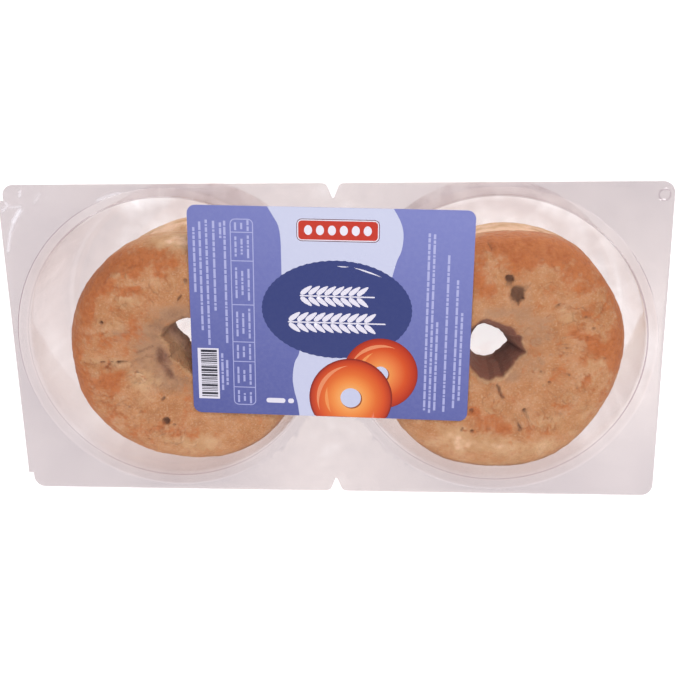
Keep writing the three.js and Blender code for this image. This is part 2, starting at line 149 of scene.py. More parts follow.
BAGELS = {
    "bagel_right_upper": {
        "well": 1, "seed": 3, "around": 520, "section": 184,
        "middle": (1.8, -8.8), "radius": 54.1,
        "bulges": [(2, 1, 51), (3, 0.3, 21), (4, 0.25, 35), (5, 0.35, 17)],
        "outline": [
            (-130, -0.8), (-90, -1.2), (-74, -0.2), (-60, -0.5), (-40, -0.9), (-20, -0.4), (0, 0.4),
            (16, 0), (32, 0.8), (42, 1.2), (50, 2.2), (57, 3.4), (64, 3.8), (71, 3), (77, 0.6), (84, -0.1),
            (180, 0),
        ],
        "hole": {
            "at": (-2.5, 5.1), "flare": 1, "lean": (-2.2, -1.9), "fade": 1.3, "wall_shade": 1,
            "waist": [
                (-125, 6.9), (-91, 5.6), (-51, 4.1), (-16, 5.2), (-2, 6.4), (30, 5.2), (71, 4.9), (94, 5.9),
                (121, 7.1), (172, 6.2),
            ],
        },
        "lip": [
            (-146, 11.6), (-127, 12.2), (-116, 13.4), (-96, 13.9), (-85, 12.2), (-69, 12.4), (-59, 11.1),
            (-45, 10.7), (-25, 9.8), (-9, 11.4), (0, 13.8), (10, 12.7), (22, 12.6), (30, 13.8), (40, 12),
            (50, 13.1), (58, 13.4), (66, 12.7), (78, 12.9), (94, 13.9), (103, 15.3), (112, 15.2),
            (122, 14.5), (180, 13),
        ],
        "torn": [
            (-140, 0.5), (-110, 1), (-50, 0.9), (-30, 0.3), (-8, 0.8), (30, 0.5), (60, 0.2), (140, 0.1),
        ],
        "rim": [
            (-150, 0.2), (-90, -0.2), (-60, 0), (-25, 0.4), (-5, 0.8), (40, 0.85), (90, 0.7), (150, 0.5),
        ],
        "dents": [(1.7, 29, 1.7, 29, 6, 0.9), (2.5, -17, 4, -11, 3.5, 1.2), (9.5, -25, 25, -20, 6, 0.6)],
        "pits": [
            (3.1, 37.8, 4, 3.6, 60, 2, "mark_and_shade"), (6.6, 31, 7.6, 5.6, 100, 2.8, "mark_and_shade"),
            (29.6, -4.7, 2, 1.7, 0, 0.7, "mark_and_shade"), (11.3, -21.6, 2.6, 2.2, 20, 1.1, "mark_and_shade"),
            (-11.2, -31.5, 2, 1.7, 0, 1, "mark_and_shade"), (-15.6, -30.7, 2.4, 1.4, 60, 0.5, "mark_and_shade"),
            (21.6, -8.3, 1.6, 1.4, 0, 0.6, "mark_and_shade"), (17.7, -3.5, 1.5, 1.3, 0, 0.5, "mark_and_shade"),
            (23.9, 26.3, 2.2, 1.4, 50, 0.5, "mark_and_shade"), (39.2, 16.1, 1.8, 1.4, 0, 0.5, "mark_and_shade"),
            (35.8, 21.2, 1.7, 1.2, 30, 0.5, "mark_and_shade"), (38, -8, 2.6, 4, 0, 0.6, "baked"),
            (-11.6, -21.4, 2.6, 2, 60, 0.6, "mark_and_shade"), (28, 7.4, 1.6, 1.2, 40, 0.5, "mark_and_shade"),
        ],
        "blisters": [
            (26.8, 21.3, 3), (2.2, 40.4, 4), (27.3, 8.3, 2.6), (28, 5.6, 1.4), (-2.2, -18.8, 4.4),
            (13, -23.5, 2.6), (17, -25.6, 3), (21.5, -28, 2.8), (17.9, -3.7, 2.4), (19.6, 33, 2.8),
            (37.5, -8.1, 3.4), (33, 22, 2.6), (-4.4, 50.2, 2.4), (36, 1, 2.6), (30.6, -16, 2.4),
            (8, -28.6, 3.4),
        ],
        "folds": [
            (-0.8, -10, 1.8, -16, 0.9, -0.9, "mark_and_shade", 0.75), (16.8, 35, 19, 32, 1, -0.3, "baked", 0.75),
            (19, 32, 21.8, 33.6, 0.9, -0.3, "baked", 0.7), (45.2, 28, 43.2, 23.8, 1.2, -0.5, "baked", 1),
            (43.2, 23.8, 39.1, 19.8, 1, -0.5, "baked", 0.9), (40.7, 2.4, 45.6, 2.6, 0.5, -0.4, "mark_and_shade", 0.5),
            (6.9, -26.4, 9.5, -30.4, 1, -1, "mark_and_shade", 0.85), (-5.6, 51.8, -4.4, 49.8, 0.6, -0.4, "mark_and_shade", 0.6),
            (9.6, 13.4, 12.4, 16.4, 0.4, -0.3, "mark_and_shade", 0.4), (26, 8.8, 28.8, 9.6, 0.4, -0.3, "mark_and_shade", 0.5),
            (27, 5.2, 29, 4.8, 0.4, -0.3, "mark_and_shade", 0.5), (20, -14.6, 22.6, -16, 0.5, -0.3, "mark_and_shade", 0.4),
            (7.8, 27, 9.4, 34.6, 1.3, 0.5, "pale", 0.55), (-0.4, 41.4, 4.6, 42.4, 0.6, 0.4, "pale", 0.5),
        ],
        "lace": [
            (18, -25.5, 12, 5, 0, 44), (28, 15, 8, 16, 10, 40), (38, 14, 7, 13, 0, 34),
            (25, -14, 11, 7, 0, 30), (36, -14, 7, 10, 20, 24), (-8, -30, 9, 3, 0, 10),
            (-2, -17, 4, 6, 0, 7), (20, 4, 7, 9, 0, 12), (12, 40, 16, 9, 0, 12),
        ],
        "patches": {
            "baked": [
                (9.2, 45.6, 9, 5.5, 0, 1), (0, 52, 14, 5, 0, 0.75), (20, 50, 16, 5, -10, 0.65),
                (30.1, 40.5, 6, 4, -20, 0.6), (33.6, 33, 6.4, 3.6, 0, 0.85), (35.6, 24.2, 4, 3, 0, 0.6),
                (42.2, 7.6, 7.5, 5, -10, 1), (48.4, 8, 5, 8, 0, 0.85), (47, -1.5, 4, 6, 0, 0.3),
                (31.2, 14.4, 4.4, 3.4, 0, 0.6), (23.9, -3.9, 4.5, 3.4, 20, 0.65),
                (28.2, 1.2, 4, 2.4, 0, 0.5), (34.5, 0.6, 3.4, 4.6, 0, 0.3), (38, -8, 2.4, 3, 0, 0.7),
                (7.4, -16.6, 5, 3, 0, 0.55), (-3, -27, 7.5, 4.6, -20, 0.85), (2, -31, 6, 3, -10, 0.5),
                (-11.2, -22, 3.6, 3.6, 0, 0.75), (15, -31, 6, 2, 0, 0.5), (25, -31.8, 5, 2.4, 0, 0.4),
                (32, -21.5, 3.4, 2.6, 0, 0.5), (26.6, -19.4, 4, 2, 0, 0.45), (-5, 32, 4, 5, 0, 0.8),
                (-9.4, 37.9, 3, 5, 0, 0.8), (-10.6, 45.6, 3, 4, 0, 0.7), (43, -14.6, 4, 4.6, 0, 0.5),
                (24, 44, 7, 4, -20, 0.35), (14, 6, 4, 3, 0, 0.3), (22, 29, 6, 3, 0, 0.35),
                (-10, 33, 4, 6, 0, 0.4),
            ],
            "pale": [
                (-3, -38.4, 22, 4.6, 0, 1.2), (-20, -33, 8, 6, -30, 1), (18, -40, 14, 4.4, 22, 0.6),
                (44, 0.8, 4, 2.6, 0, 0.7), (11.6, 34, 2.2, 4, 0, 0.5), (41.5, -5, 5, 4, 0, 0.55),
                (26.8, 21.3, 3, 2.6, 0, 0.5), (21.6, -26.4, 7, 2.6, 0, 0.6), (38, -21, 6, 4, 30, 0.5),
                (-2.2, -18.8, 3.6, 4, 0, 0.45), (33, -33, 8, 5, 35, 0.4), (20, -10, 8, 5, 0, 0.3),
                (0, -50, 22, 4, 0, 0.5),
            ],
            # Greyer crust round the hole, partly painted shade round the lip.
            "ash_and_shade": [
                (10.5, 22, 8, 5, -30, 0.65), (16.5, 13, 7, 8, 0, 0.5), (5.4, -6.4, 3.4, 3, 30, 0.8),
                (14.6, -2, 7, 7, 0, 0.45), (-1, 23.4, 6, 2.6, 0, 0.5), (11.6, 32, 2.4, 4, 0, 0.4),
            ],
        },
    },
    "bagel_left_upper": {
        "well": -1, "seed": 11, "around": 520, "section": 184,
        "middle": (4.1, -8), "radius": 53.7,
        "bulges": [(2, 0.3, -38), (3, 0.25, -28), (4, 0.45, 30), (5, 0.1, 3)],
        "outline": [
            (-180, -1.1), (-152, -0.9), (-134, -1.5), (-112, -1.2), (-96, -2), (-70, -1.5), (0, 0),
            (100, 0), (140, -0.4), (160, 0), (170, -0.6),
        ],
        "hole": {
            "at": (4.6, 3.9), "flare": 1, "lean": (-3.5, 1), "fade": 2, "wall_shade": 0.3,
            "waist": [
                (-170, 2.4), (-150, 1.8), (-120, 2.6), (-95, 3.2), (-60, 6), (-20, 10), (60, 11),
                (140, 9.8), (165, 5.4),
            ],
        },
        "lip": [
            (-174, 9.6), (-166, 9.9), (-148, 9.2), (-125, 8.3), (-99, 9), (-60, 11.2), (0, 13.2),
            (60, 14.2), (97, 15.5), (124, 15), (141, 15.1), (154, 15), (159, 13.6), (164, 11.6), (171, 9.8),
            (178, 9.6),
        ],
        "torn": [(-180, 0.3), (-130, 0.3), (-95, 0.3), (-60, 0.2), (60, 0), (140, 0.1), (152, 0.5)],
        "rim": [
            (-180, 0.95), (-150, 0.85), (-125, 0.55), (-90, 0.15), (0, 0.4), (70, 0.1), (84, -0.4),
            (100, -0.4), (112, 0.2), (124, 0.6), (150, 0.85),
        ],
        "dents": [
            (-13.7, -2, -7.2, -12, 4.5, 2.6), (-11.2, 3, -11.4, -0.6, 2.6, 2), (-8, -6.2, -8, -6.2, 2.6, 2),
            (-40, -2.2, -24, -2.2, 3.5, 1), (-33, 25, -10, 37, 4, 1), (-9, -29, -9, -29, 4.5, 0.8),
        ],
        "pits": [
            (-34.5, 17, 1.9, 1.7, 0, 1.2, "mark_and_shade"), (-36.4, -2, 3.2, 0.8, 0, 0.6, "mark_and_shade"),
            (-32.2, -2, 2, 0.7, 0, 0.5, "mark_and_shade"), (-28.9, -1.9, 1.9, 1.3, 0, 0.9, "mark_and_shade"),
            (-8.6, -28.9, 3.6, 3.2, 30, 1.7, "mark_and_shade"), (-5, -30.6, 2, 1.4, 0, 0.6, "mark_and_shade"),
            (-9.2, -18.3, 3.2, 1.6, 50, 0.7, "mark_and_shade"), (1, 28.4, 4.2, 1.4, 55, 0.8, "mark_and_shade"),
            (4, 36.1, 2.2, 2, 0, 1, "mark_and_shade"), (-17.1, -38.3, 2.2, 1, -20, 0.5, "mark_and_shade"),
            (-7.7, -21, 1.4, 1, 0, 0.4, "mark_and_shade"), (-25, -1.4, 1.8, 0.8, 0, 0.4, "mark_and_shade"),
        ],
        "blisters": [
            (-5.6, 35, 5.4), (-30.5, 15.2, 6), (-29.4, 14, 3.6), (-22, 27.4, 4), (-5.5, -35, 4.6),
            (-28, -23.9, 3), (-20, -28, 2.6), (-14, 26, 2.6), (2, -38, 3), (-35, -20, 2.2),
            (-18.2, 38, 3.2), (-14, -34, 2), (-20, -9, 2.6),
        ],
        "folds": [
            (-34.6, 31.4, -28.9, 36.1, 1.2, 0.7, "pale", 0.9),
            (-28.9, 36.1, -23.5, 39.5, 1.1, 0.6, "pale", 0.8),
            (-23.5, 39.5, -18.6, 41, 1, 0.5, "pale", 0.7), (-15.1, 39.5, -8.1, 43.8, 1, 0.55, "pale", 0.8),
            (-44.9, -1.2, -34, -2, 2, -0.8, "pale", 0.8), (-34, -2, -24, -2.4, 2, -0.8, "pale", 0.8),
            (-19.4, 3.7, -12.4, 5.6, 0.9, -0.6, "mark_and_shade", 0.5),
            (-21.4, -0.8, -13, 0.8, 0.8, -0.5, "mark_and_shade", 0.4),
            (-22.8, -8, -17.8, -10.2, 0.8, -0.4, "mark_and_shade", 0.35),
            (-13, 15.6, -10.4, 13.6, 1, -0.5, "mark_and_shade", 0.4), (-9, 9.4, -5.6, 5.7, 0.5, 0.8, "pale", 0.5),
            (-5.6, 5.7, -5.2, 0.6, 0.5, 0.8, "pale", 0.5), (-5.2, 0.6, -2.2, -1.9, 0.5, 0.8, "pale", 0.6),
            (-2.2, -1.9, 3.1, -5.9, 0.5, 0.8, "pale", 0.6), (-3, 54.2, 3.8, 53.3, 0.5, 0.3, "pale", 1.5),
            (-1.4, 51.3, 3.5, 50.9, 0.45, 0.3, "pale", 1.5), (-6, 53, 1, 52.4, 0.5, -0.3, "baked", 0.6),
            (-21.4, 31, -16.4, 33.2, 1.2, -0.5, "baked", 0.9),
            (-39, 26, -38.4, 18, 1.4, -0.3, "baked", 0.7), (-20, 16, -16, 20, 1.2, -0.3, "baked", 0.6),
            (-10, 43, -6, 48, 1, -0.3, "baked", 0.4),
        ],
        "lace": [
            (-30, 15, 7, 7, 0, 22), (-22, 27, 7, 4, 10, 16), (-28, -24, 10, 6, -30, 36),
            (-8, -33, 10, 6, 0, 20), (-17, -10, 8, 4, -20, 16), (-5, 35, 6, 5, 0, 12),
            (-39, -14, 5, 9, 10, 20), (-35, -2, 9, 2, 0, 12), (-18, -30, 9, 6, -20, 16),
            (-24, 40, 10, 4, 30, 10),
        ],
        "patches": {
            "baked": [
                (-19.6, 31.6, 6, 2.6, 15, 1), (-39, 24, 4, 8, -10, 0.7), (-36, 33, 9, 5, 45, 0.7),
                (-28, 43, 12, 4, 32, 0.5), (-14, 46.5, 11, 3, 12, 0.8), (-18.2, 38, 5, 2.6, 0, 0.6),
                (-19.1, 18.2, 5, 4, 30, 0.6), (-23.1, 10.6, 7, 4, 20, 0.65), (-36, 8, 6, 5, 0, 0.5),
                (-33.6, -11, 7.5, 5, 0, 1.2), (-28, -8, 4, 3, 0, 0.5), (-46, -11, 4, 10, 5, 0.8),
                (-33.8, -25.5, 8, 5, -40, 0.5), (-24, -35, 8, 4, -30, 0.55), (-1.9, -34.4, 8, 4, 0, 0.55),
                (-11, -33, 5, 3, 0, 0.4), (-28.3, 22.4, 4, 3, 0, 0.4), (-44, 12, 4, 12, -8, 0.6),
                (-26, 4, 5, 3, 0, 0.5), (-2, -24, 5, 3, 0, 0.35), (-12, 28, 5, 3, 20, 0.6),
                (2, -17, 4, 6, 0, 0.4), (0, 44, 7, 3, 0, 0.5), (-18, 43, 7, 4, 20, 0.55),
                (-6, 43, 7, 4, 0, 0.6), (-5, 38.5, 5, 3, 0, 0.35), (-30, 34, 5, 4, 40, 0.5),
            ],
            # The last two pale patches, with the pale folds high on +Y, are partly a painted highlight along
            # the far rim.
            "pale": [
                (-21.9, 27.4, 6, 3.4, 5, 0.6), (-30.5, 15.2, 6, 5.4, 0, 0.5), (-35, -1.8, 11, 2, 0, 0.6),
                (-17, -9, 7, 6, -30, 0.7), (-6.2, 34.4, 6, 4.4, 0, 0.35), (-18.4, -18.4, 6, 4.4, 0, 0.65),
                (4.7, -40, 14, 5, 0, 0.9), (-14, -2, 6, 8, 0, 0.3), (-2, 54.4, 16, 3.3, 0, 1.7),
                (4, 50.5, 5, 3, -20, 0.7),
            ],
            # Greyer crust round the hole, partly painted shade round the lip.
            "ash_and_shade": [
                (-28, 12, 6, 4, 0, 0.45), (-14, 2, 8, 10, 0, 1), (-9, -8, 7, 6, -30, 0.9),
                (-11, 14.4, 5, 3, -20, 0.9), (-2.9, 21, 10, 3.4, -10, 0.8), (-15, 6, 6, 8, 0, 0.5),
                (-14, -4, 7, 7, 0, 0.5), (-2, -12, 8, 4, -20, 0.7), (2, 24, 8, 5, 0, 0.4),
            ],
            # The hollow and mark patches here are painted shade, in the dimples by the hole and above it.
            "hollow_and_shade": [(-8.6, 0.5, 4.6, 6, 0, 0.4), (-5.4, -7, 5, 3, -35, 0.35)],
            "mark_and_shade": [
                (-10, 3, 2.2, 3, -5, 0.35), (-10.6, -0.6, 2.4, 1.8, 20, 0.3), (-6.4, -6.6, 3, 2, -40, 0.2),
                (-7.6, -0.4, 4, 6, 20, 0.4), (-4.6, -7, 5.4, 3.2, -38, 0.35), (-9, 3, 5, 8, 0, 0.2),
                (-10, 15.8, 5.5, 4, -30, 0.45), (-1, 21.4, 8, 4, -8, 0.42), (-12.6, 11.4, 4, 1.6, -20, 0.3),
                (1.6, -9.4, 5, 2.6, -30, 0.4),
            ],
        },
    },
    "bagel_right_lower": {
        "well": 1, "seed": 29, "around": 260, "section": 88,
        "middle": (3.2, -8.3), "radius": 53.2,
        "bulges": [(2, 0.5, 120), (3, 0.4, 80), (5, 0.2, 10)],
        "outline": [
            (-180, 0), (0, 0), (30, 0.6), (44, 1.2), (56, 0), (72, -1.8), (90, -3.2), (110, -3.2),
            (140, -1),
        ],
        "hole": {
            "at": (-4.4, -0.7), "flare": 0.8, "lean": (1, -5), "wall_shade": 0.7,
            "waist": [(0, 12)],
        },
        "rim": [(-180, -0.2), (0, -0.2)],
        "seams": [(0.85, 0.09), (0.4, 0.1), (-0.05, 0.25)],
        "patches": {
            "baked": [(20, 44, 16, 6, -25, 0.5)],
            # Pale sides lighter than flour: painted light, as they are lit less than they look.
            "pale": [(0, 50, 34, 10, 0, 1.9), (36, 38, 16, 14, 0, 1.5)],
        },
    },
    "bagel_left_lower": {
        "well": -1, "seed": 37, "around": 260, "section": 88,
        "middle": (5.4, -7.4), "radius": 52.8,
        "bulges": [(2, 0.5, 70), (3, 0.4, 15), (4, 0.3, 50)],
        "outline": [
            (-180, 0), (70, 0.2), (88, 0.8), (97, 0.9), (104, 0.4), (112, -0.6), (118, -1.5), (128, -0.6),
            (140, 0),
        ],
        "hole": {
            "at": (-4.8, 2.4), "flare": 1.6, "lean": (0, 0), "wall_shade": 0.5,
            "waist": [(0, 10.6)],
        },
        "rim": [(-180, -0.2), (0, -0.2)],
        "seams": [(0.8, 0.08), (0.4, 0.12), (-0.05, 0.25)],
        "patches": {
            "baked": [(-12, 47, 14, 6, 12, 0.5)],
            # Pale sides lighter than flour: painted light, as they are lit less than they look.
            "pale": [(6, 50, 28, 10, 0, 1.3), (-20, 44, 16, 10, 30, 1.2)],
        },
    },
}

# ---- Small tools ----


def srgb(code):
    """Linear colour of an sRGB hex value."""
    parts = [int(code[i:i + 2], 16) / 255 for i in (1, 3, 5)]
    linear = [p / 12.92 if p <= 0.04045 else ((p + 0.055) / 1.055) ** 2.4 for p in parts]
    return (*linear, 1.0)


WHITE = srgb("#FFFFFF")


def new_material(name):
    """An empty node material and its tree."""
    material = bpy.data.materials.new(name)
    material.use_nodes = True
    material.node_tree.nodes.clear()
    return material.node_tree, material


def node(tree, kind, inputs=None, stops=(), **settings):
    """Adds a shader node with its settings and links. Inputs go by name or number and are values,
    sockets, or nodes, which give their first output; stops are a colour ramp's places and inks."""
    made = tree.nodes.new("ShaderNode" + kind)
    for name, value in settings.items():
        setattr(made, name, value)
    sockets = [socket for socket in made.inputs if socket.enabled]
    for key, value in (inputs or {}).items():
        socket = sockets[key] if isinstance(key, int) else next(s for s in sockets if s.name == key)
        if isinstance(value, bpy.types.Node):
            value = next(output for output in value.outputs if output.enabled)
        if isinstance(value, bpy.types.NodeSocket):
            tree.links.new(value, socket)
        else:
            socket.default_value = value
    for number, (place, code) in enumerate(stops):
        elements = made.color_ramp.elements
        element = elements[number] if number < 2 else elements.new(place)
        element.position = place
        element.color = srgb(code)
    return made


def linked(name, mesh, materials):
    """An object of the scene for a mesh."""
    for material in materials:
        mesh.materials.append(material)
    made = bpy.data.objects.new(name, mesh)
    bpy.context.scene.collection.objects.link(made)
    return made


def mesh_object(name, bm, materials, sharp=40):
    """A mesh object from a bmesh, smooth but for edges that turn more than `sharp` degrees."""
    bmesh.ops.recalc_face_normals(bm, faces=bm.faces)
    for face in bm.faces:
        face.smooth = True
    for edge in bm.edges:
        if len(edge.link_faces) == 2 and edge.calc_face_angle(0) > math.radians(sharp):
            edge.smooth = False
    mesh = bpy.data.meshes.new(name)
    bm.to_mesh(mesh)
    bm.free()
    return linked(name, mesh, materials)


def finish_piece(piece, replaced):
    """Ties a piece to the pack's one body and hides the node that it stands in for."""
    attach(piece, "root")
    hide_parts(replaced)


# ---- Outlines in the plane, millimetres, all anticlockwise ----


def arc(cx, cy, rx, start, end, count, ry=None):
    """Points on an arc from start to end degrees, both ends included."""
    ry = rx if ry is None else ry
    turns = [math.radians(start + (end - start) * i / count) for i in range(count + 1)]
    return [(cx + rx * math.cos(t), cy + ry * math.sin(t)) for t in turns]


def ellipse(cx, cy, rx, ry, count):
    """Points all round an ellipse."""
    return arc(cx, cy, rx, 0, 360, count, ry)[:-1]


def crescent(cx, cy, radius, thick, start, end, count=18, ry=None):
    """Sickle with its outer edge on a circle or ellipse, thickest at its middle."""
    outer = arc(cx, cy, radius, start, end, count, ry)
    inner = []
    for i, (x, y) in enumerate(reversed(outer[1:-1])):
        bulge = thick * math.sin(math.pi * (i + 1) / count)
        away = math.hypot(x - cx, y - cy)
        inner.append((cx + (x - cx) * (away - bulge) / away, cy + (y - cy) * (away - bulge) / away))
    return outer + inner


def rounded(x0, y0, x1, y1, radius, count=4):
    """Rectangle with round corners."""
    radius = min(radius, (x1 - x0) / 2 - 1e-3, (y1 - y0) / 2 - 1e-3)
    corners = [(x1 - radius, y0 + radius, -90), (x1 - radius, y1 - radius, 0),
               (x0 + radius, y1 - radius, 90), (x0 + radius, y0 + radius, 180)]
    return [p for cx, cy, start in corners for p in arc(cx, cy, radius, start, start + 90, count)]


def box_outline(x0, y0, x1, y1):
    """Corners of a rectangle."""
    return [(x0, y0), (x1, y0), (x1, y1), (x0, y1)]


def bend(start, control, end, count):
    """Quadratic curve without its first point."""
    points = []
    for i in range(1, count + 1):
        t = i / count
        weights = ((1 - t) ** 2, 2 * t * (1 - t), t * t)
        points.append(tuple(sum(w * v for w, v in zip(weights, axis)) for axis in zip(start, control, end)))
    return points


def notch(way):
    """The V notch that points to +Y from one long side (way 1) or to -Y from the other (way -1)."""
    edge = -way * HALF_WIDTH
    shoulder, pull, neck = (way * NOTCH_SHOULDER * share for share in (1, NOTCH_PULL, NOTCH_NECK))
    turn = edge + way * NOTCH_NECK_DEPTH * NOTCH_DEPTH
    apex = edge + way * NOTCH_DEPTH
    points = [(-shoulder, edge)]
    points += bend((-shoulder, edge), (-pull, edge), (-neck, turn), 5)
    points += [(side * NOTCH_APEX_HALF_WIDTH, apex) for side in (-way, way)]
    points += [(neck, turn)]
    points += bend((neck, turn), (pull, edge), (shoulder, edge), 5)
    return [(x + NOTCH_X[way], y) for x, y in points]


def pack_outline():
    """The cut edge that flange and film share."""
    right, far, r = HALF_LENGTH, HALF_WIDTH, CORNER_RADIUS
    punched = -right + SPUR_STEP
    spur = far - r - SPUR_LENGTH
    points = [(-right, -spur), (punched, -spur)]
    points += arc(punched + r, -far + r, r, 180, 270, 8) + notch(1)
    points += arc(right - r, -far + r, r, -90, 0, 8)
    points += arc(right - r, far - r, r, 0, 90, 8) + notch(-1)
    points += arc(punched + r, far - r, r, 90, 180, 8)
    return points + [(punched, spur), (-right, spur)]


def grid_points(low, high, step):
    """Loose points inside a box, every second row shifted, to give a sheet even triangles."""
    points = []
    rows = int((high[1] - low[1]) / step)
    for row in range(1, rows):
        y = low[1] + row * (high[1] - low[1]) / rows
        x = low[0] + step * (0.5 + 0.5 * (row % 2))
        while x < high[0] - 0.4 * step:
            points.append((x, y))
            x += step
    return points


def triangulate(outlines, loose):
    """Triangles that fill the outlines; each comes with the numbers of the outlines it lies in."""
    points, faces = [], []
    for outline in outlines:
        faces.append(list(range(len(points), len(points) + len(outline))))
        points += outline
    points += loose
    places, _, triangles, _, _, homes = delaunay_2d_cdt([Vector(p) for p in points], [], faces, 1, 1e-5, True)
    return [(p.x, p.y) for p in places], triangles, homes


def plate(bm, places, triangles, height, thickness, inks=None):
    """Closed sheet over a triangulated plane figure: `height` gives the top face at a point.
    Returns its top vertices by the number of their place."""
    used = sorted({i for t in triangles for i in t})
    top = {i: bm.verts.new((*places[i], height(*places[i]))) for i in used}
    low = {i: bm.verts.new((*places[i], height(*places[i]) - thickness)) for i in used}
    edges = set()
    for number, (a, b, c) in enumerate(triangles):
        face = bm.faces.new((top[a], top[b], top[c]))
        bm.faces.new((low[c], low[b], low[a]))
        if inks is not None:
            face.material_index = inks[number]
        edges |= {(a, b), (b, c), (c, a)}
    for a, b in edges:
        if (b, a) not in edges:
            bm.faces.new((top[b], top[a], low[a], low[b]))
    return top


def scaled(bm):
    """Millimetres to metres."""
    bmesh.ops.scale(bm, vec=(MM, MM, MM), verts=bm.verts)
    return bm


def from_segment(x, y, start, end):
    """Distance from points to a segment, or to its start where it has no length."""
    run_x, run_y = end[0] - start[0], end[1] - start[1]
    length2 = run_x ** 2 + run_y ** 2 or 1
    along = np.clip(((x - start[0]) * run_x + (y - start[1]) * run_y) / length2, 0, 1)
    return np.hypot(x - start[0] - along * run_x, y - start[1] - along * run_y)


# ---- Materials ----

POLYESTER_REFLECTANCE = 0.04
PAPER_ROUGHNESS = 0.28
PAPER_IOR = 1.5

# What the tray's mesh tells its material: how thick and hazy the sheet is, how much painted shade
# darkens a bend, how much a bend dulls the mirroring, and how much painted reflection of the
# crust's orange-brown colour a wall carries.
TRAY_LAYERS = ("haze", "bend", "dull", "painted_warm_reflection")


def clear_skin(tree, tint, bump, gloss_roughness, dull=0.0):
    """Shader of one skin of clear polyester: light goes straight through, tinted by the sheet, and
    the studio is mirrored more the flatter the skin is seen (Schlick's rule for an IOR of 1.5),
    but less where `dull` says that a tight bend scatters it."""
    facing = node(tree, "LayerWeight", {"Blend": 0.5, "Normal": bump}).outputs["Facing"]
    steep = node(tree, "Math", {0: facing, 1: 5.0}, operation="POWER")
    mirrored = node(tree, "MapRange", {"Value": steep, "To Min": POLYESTER_REFLECTANCE})
    kept = node(tree, "MapRange", {"Value": dull, "To Min": 1.0, "To Max": 0.05})
    mirrored = node(tree, "Math", {0: mirrored, 1: kept}, operation="MULTIPLY")
    through = node(tree, "BsdfTransparent", {"Color": tint})
    gloss = node(tree, "BsdfGlossy", {"Color": WHITE, "Roughness": gloss_roughness, "Normal": bump})
    return node(tree, "MixShader", {0: mirrored, 1: through, 2: gloss})


def formed_polyester():
    """Clear polyester sheet, vacuum formed: glassy where it was drawn thin, with a faint mauve
    haze where it kept its full thickness, thin dark lines of painted shade along tight bends, a
    painted reflection of the crust's orange-brown in the wells' walls, soft upright draw streaks in
    the walls and slow ripples that break its reflections up."""
    tree, material = new_material("vacuum_formed_clear_polyester")
    haze, bends, dull, painted_warm_reflection = (
        node(tree, "Attribute", attribute_name=key).outputs["Fac"] for key in TRAY_LAYERS)
    where = node(tree, "TexCoord").outputs["Object"]
    streak_size = (PER_MM / 9, PER_MM / 9, PER_MM / 70)
    streak_space = node(tree, "Mapping", {"Vector": where, "Scale": streak_size})
    streaks = node(tree, "TexNoise", {"Vector": streak_space, "Scale": 1.0, "Detail": 2.0})
    clouds = node(tree, "TexNoise", {"Vector": where, "Scale": PER_MM / 38, "Detail": 2.0})
    uneven = node(tree, "Mix", {"Factor": haze, "A": streaks.outputs["Fac"], "B": clouds.outputs["Fac"]})
    swing = node(tree, "MapRange",
                 {"Value": uneven, "From Min": 0.3, "From Max": 0.7, "To Min": -0.12, "To Max": 0.12})
    thick = node(tree, "Math", {0: haze, 1: swing}, operation="ADD", use_clamp=True)
    tint = node(tree, "ValToRGB", {"Fac": thick}, [(0.0, "#FEFDFD"), (0.4, "#F0EBEA"), (1.0, "#E3DEDF")])
    # Painted reflection of the crust multiplied into the tint, then painted shade mixed in along the bends.
    for share, code, blend in ((painted_warm_reflection, "#F3EEEC", "MULTIPLY"), (bends, "#B9ABB0", "MIX")):
        inked = {"Factor": share, "A": tint, "B": srgb(code)}
        tint = node(tree, "Mix", inked, data_type="RGBA", blend_type=blend)
    ripple = node(tree, "TexNoise", {"Vector": where, "Scale": PER_MM / 22, "Detail": 2.0, "Roughness": 0.4})
    bump = node(tree, "Bump", {"Height": ripple, "Distance": 0.12 * MM})
    node(tree, "OutputMaterial", {"Surface": clear_skin(tree, tint, bump, 0.06, dull)})
    return material


def sealing_polyester():
    """Thin clear lidding film: almost colourless, glossy, lightly rippled by its heat seal, and
    turned white along hard creases, partly by stress whitening and partly as painted glare."""
    tree, material = new_material("clear_lidding_film")
    where = node(tree, "TexCoord").outputs["Object"]
    ripple = node(tree, "TexNoise", {"Vector": where, "Scale": PER_MM / 15, "Detail": 3.0, "Roughness": 0.4})
    bump = node(tree, "Bump", {"Height": ripple, "Distance": 0.1 * MM})
    clear = clear_skin(tree, srgb("#FDFCFD"), bump, 0.08)
    # The white over the creases is partly painted glare.
    crease_white_and_glare = node(tree, "BsdfDiffuse", {"Color": srgb("#F2EEF4")})
    crease_and_glare = node(tree, "Attribute", attribute_name="crease_and_glare").outputs["Fac"]
    surface = node(tree, "MixShader", {0: crease_and_glare, 1: clear, 2: crease_white_and_glare})
    node(tree, "OutputMaterial", {"Surface": surface})
    return material


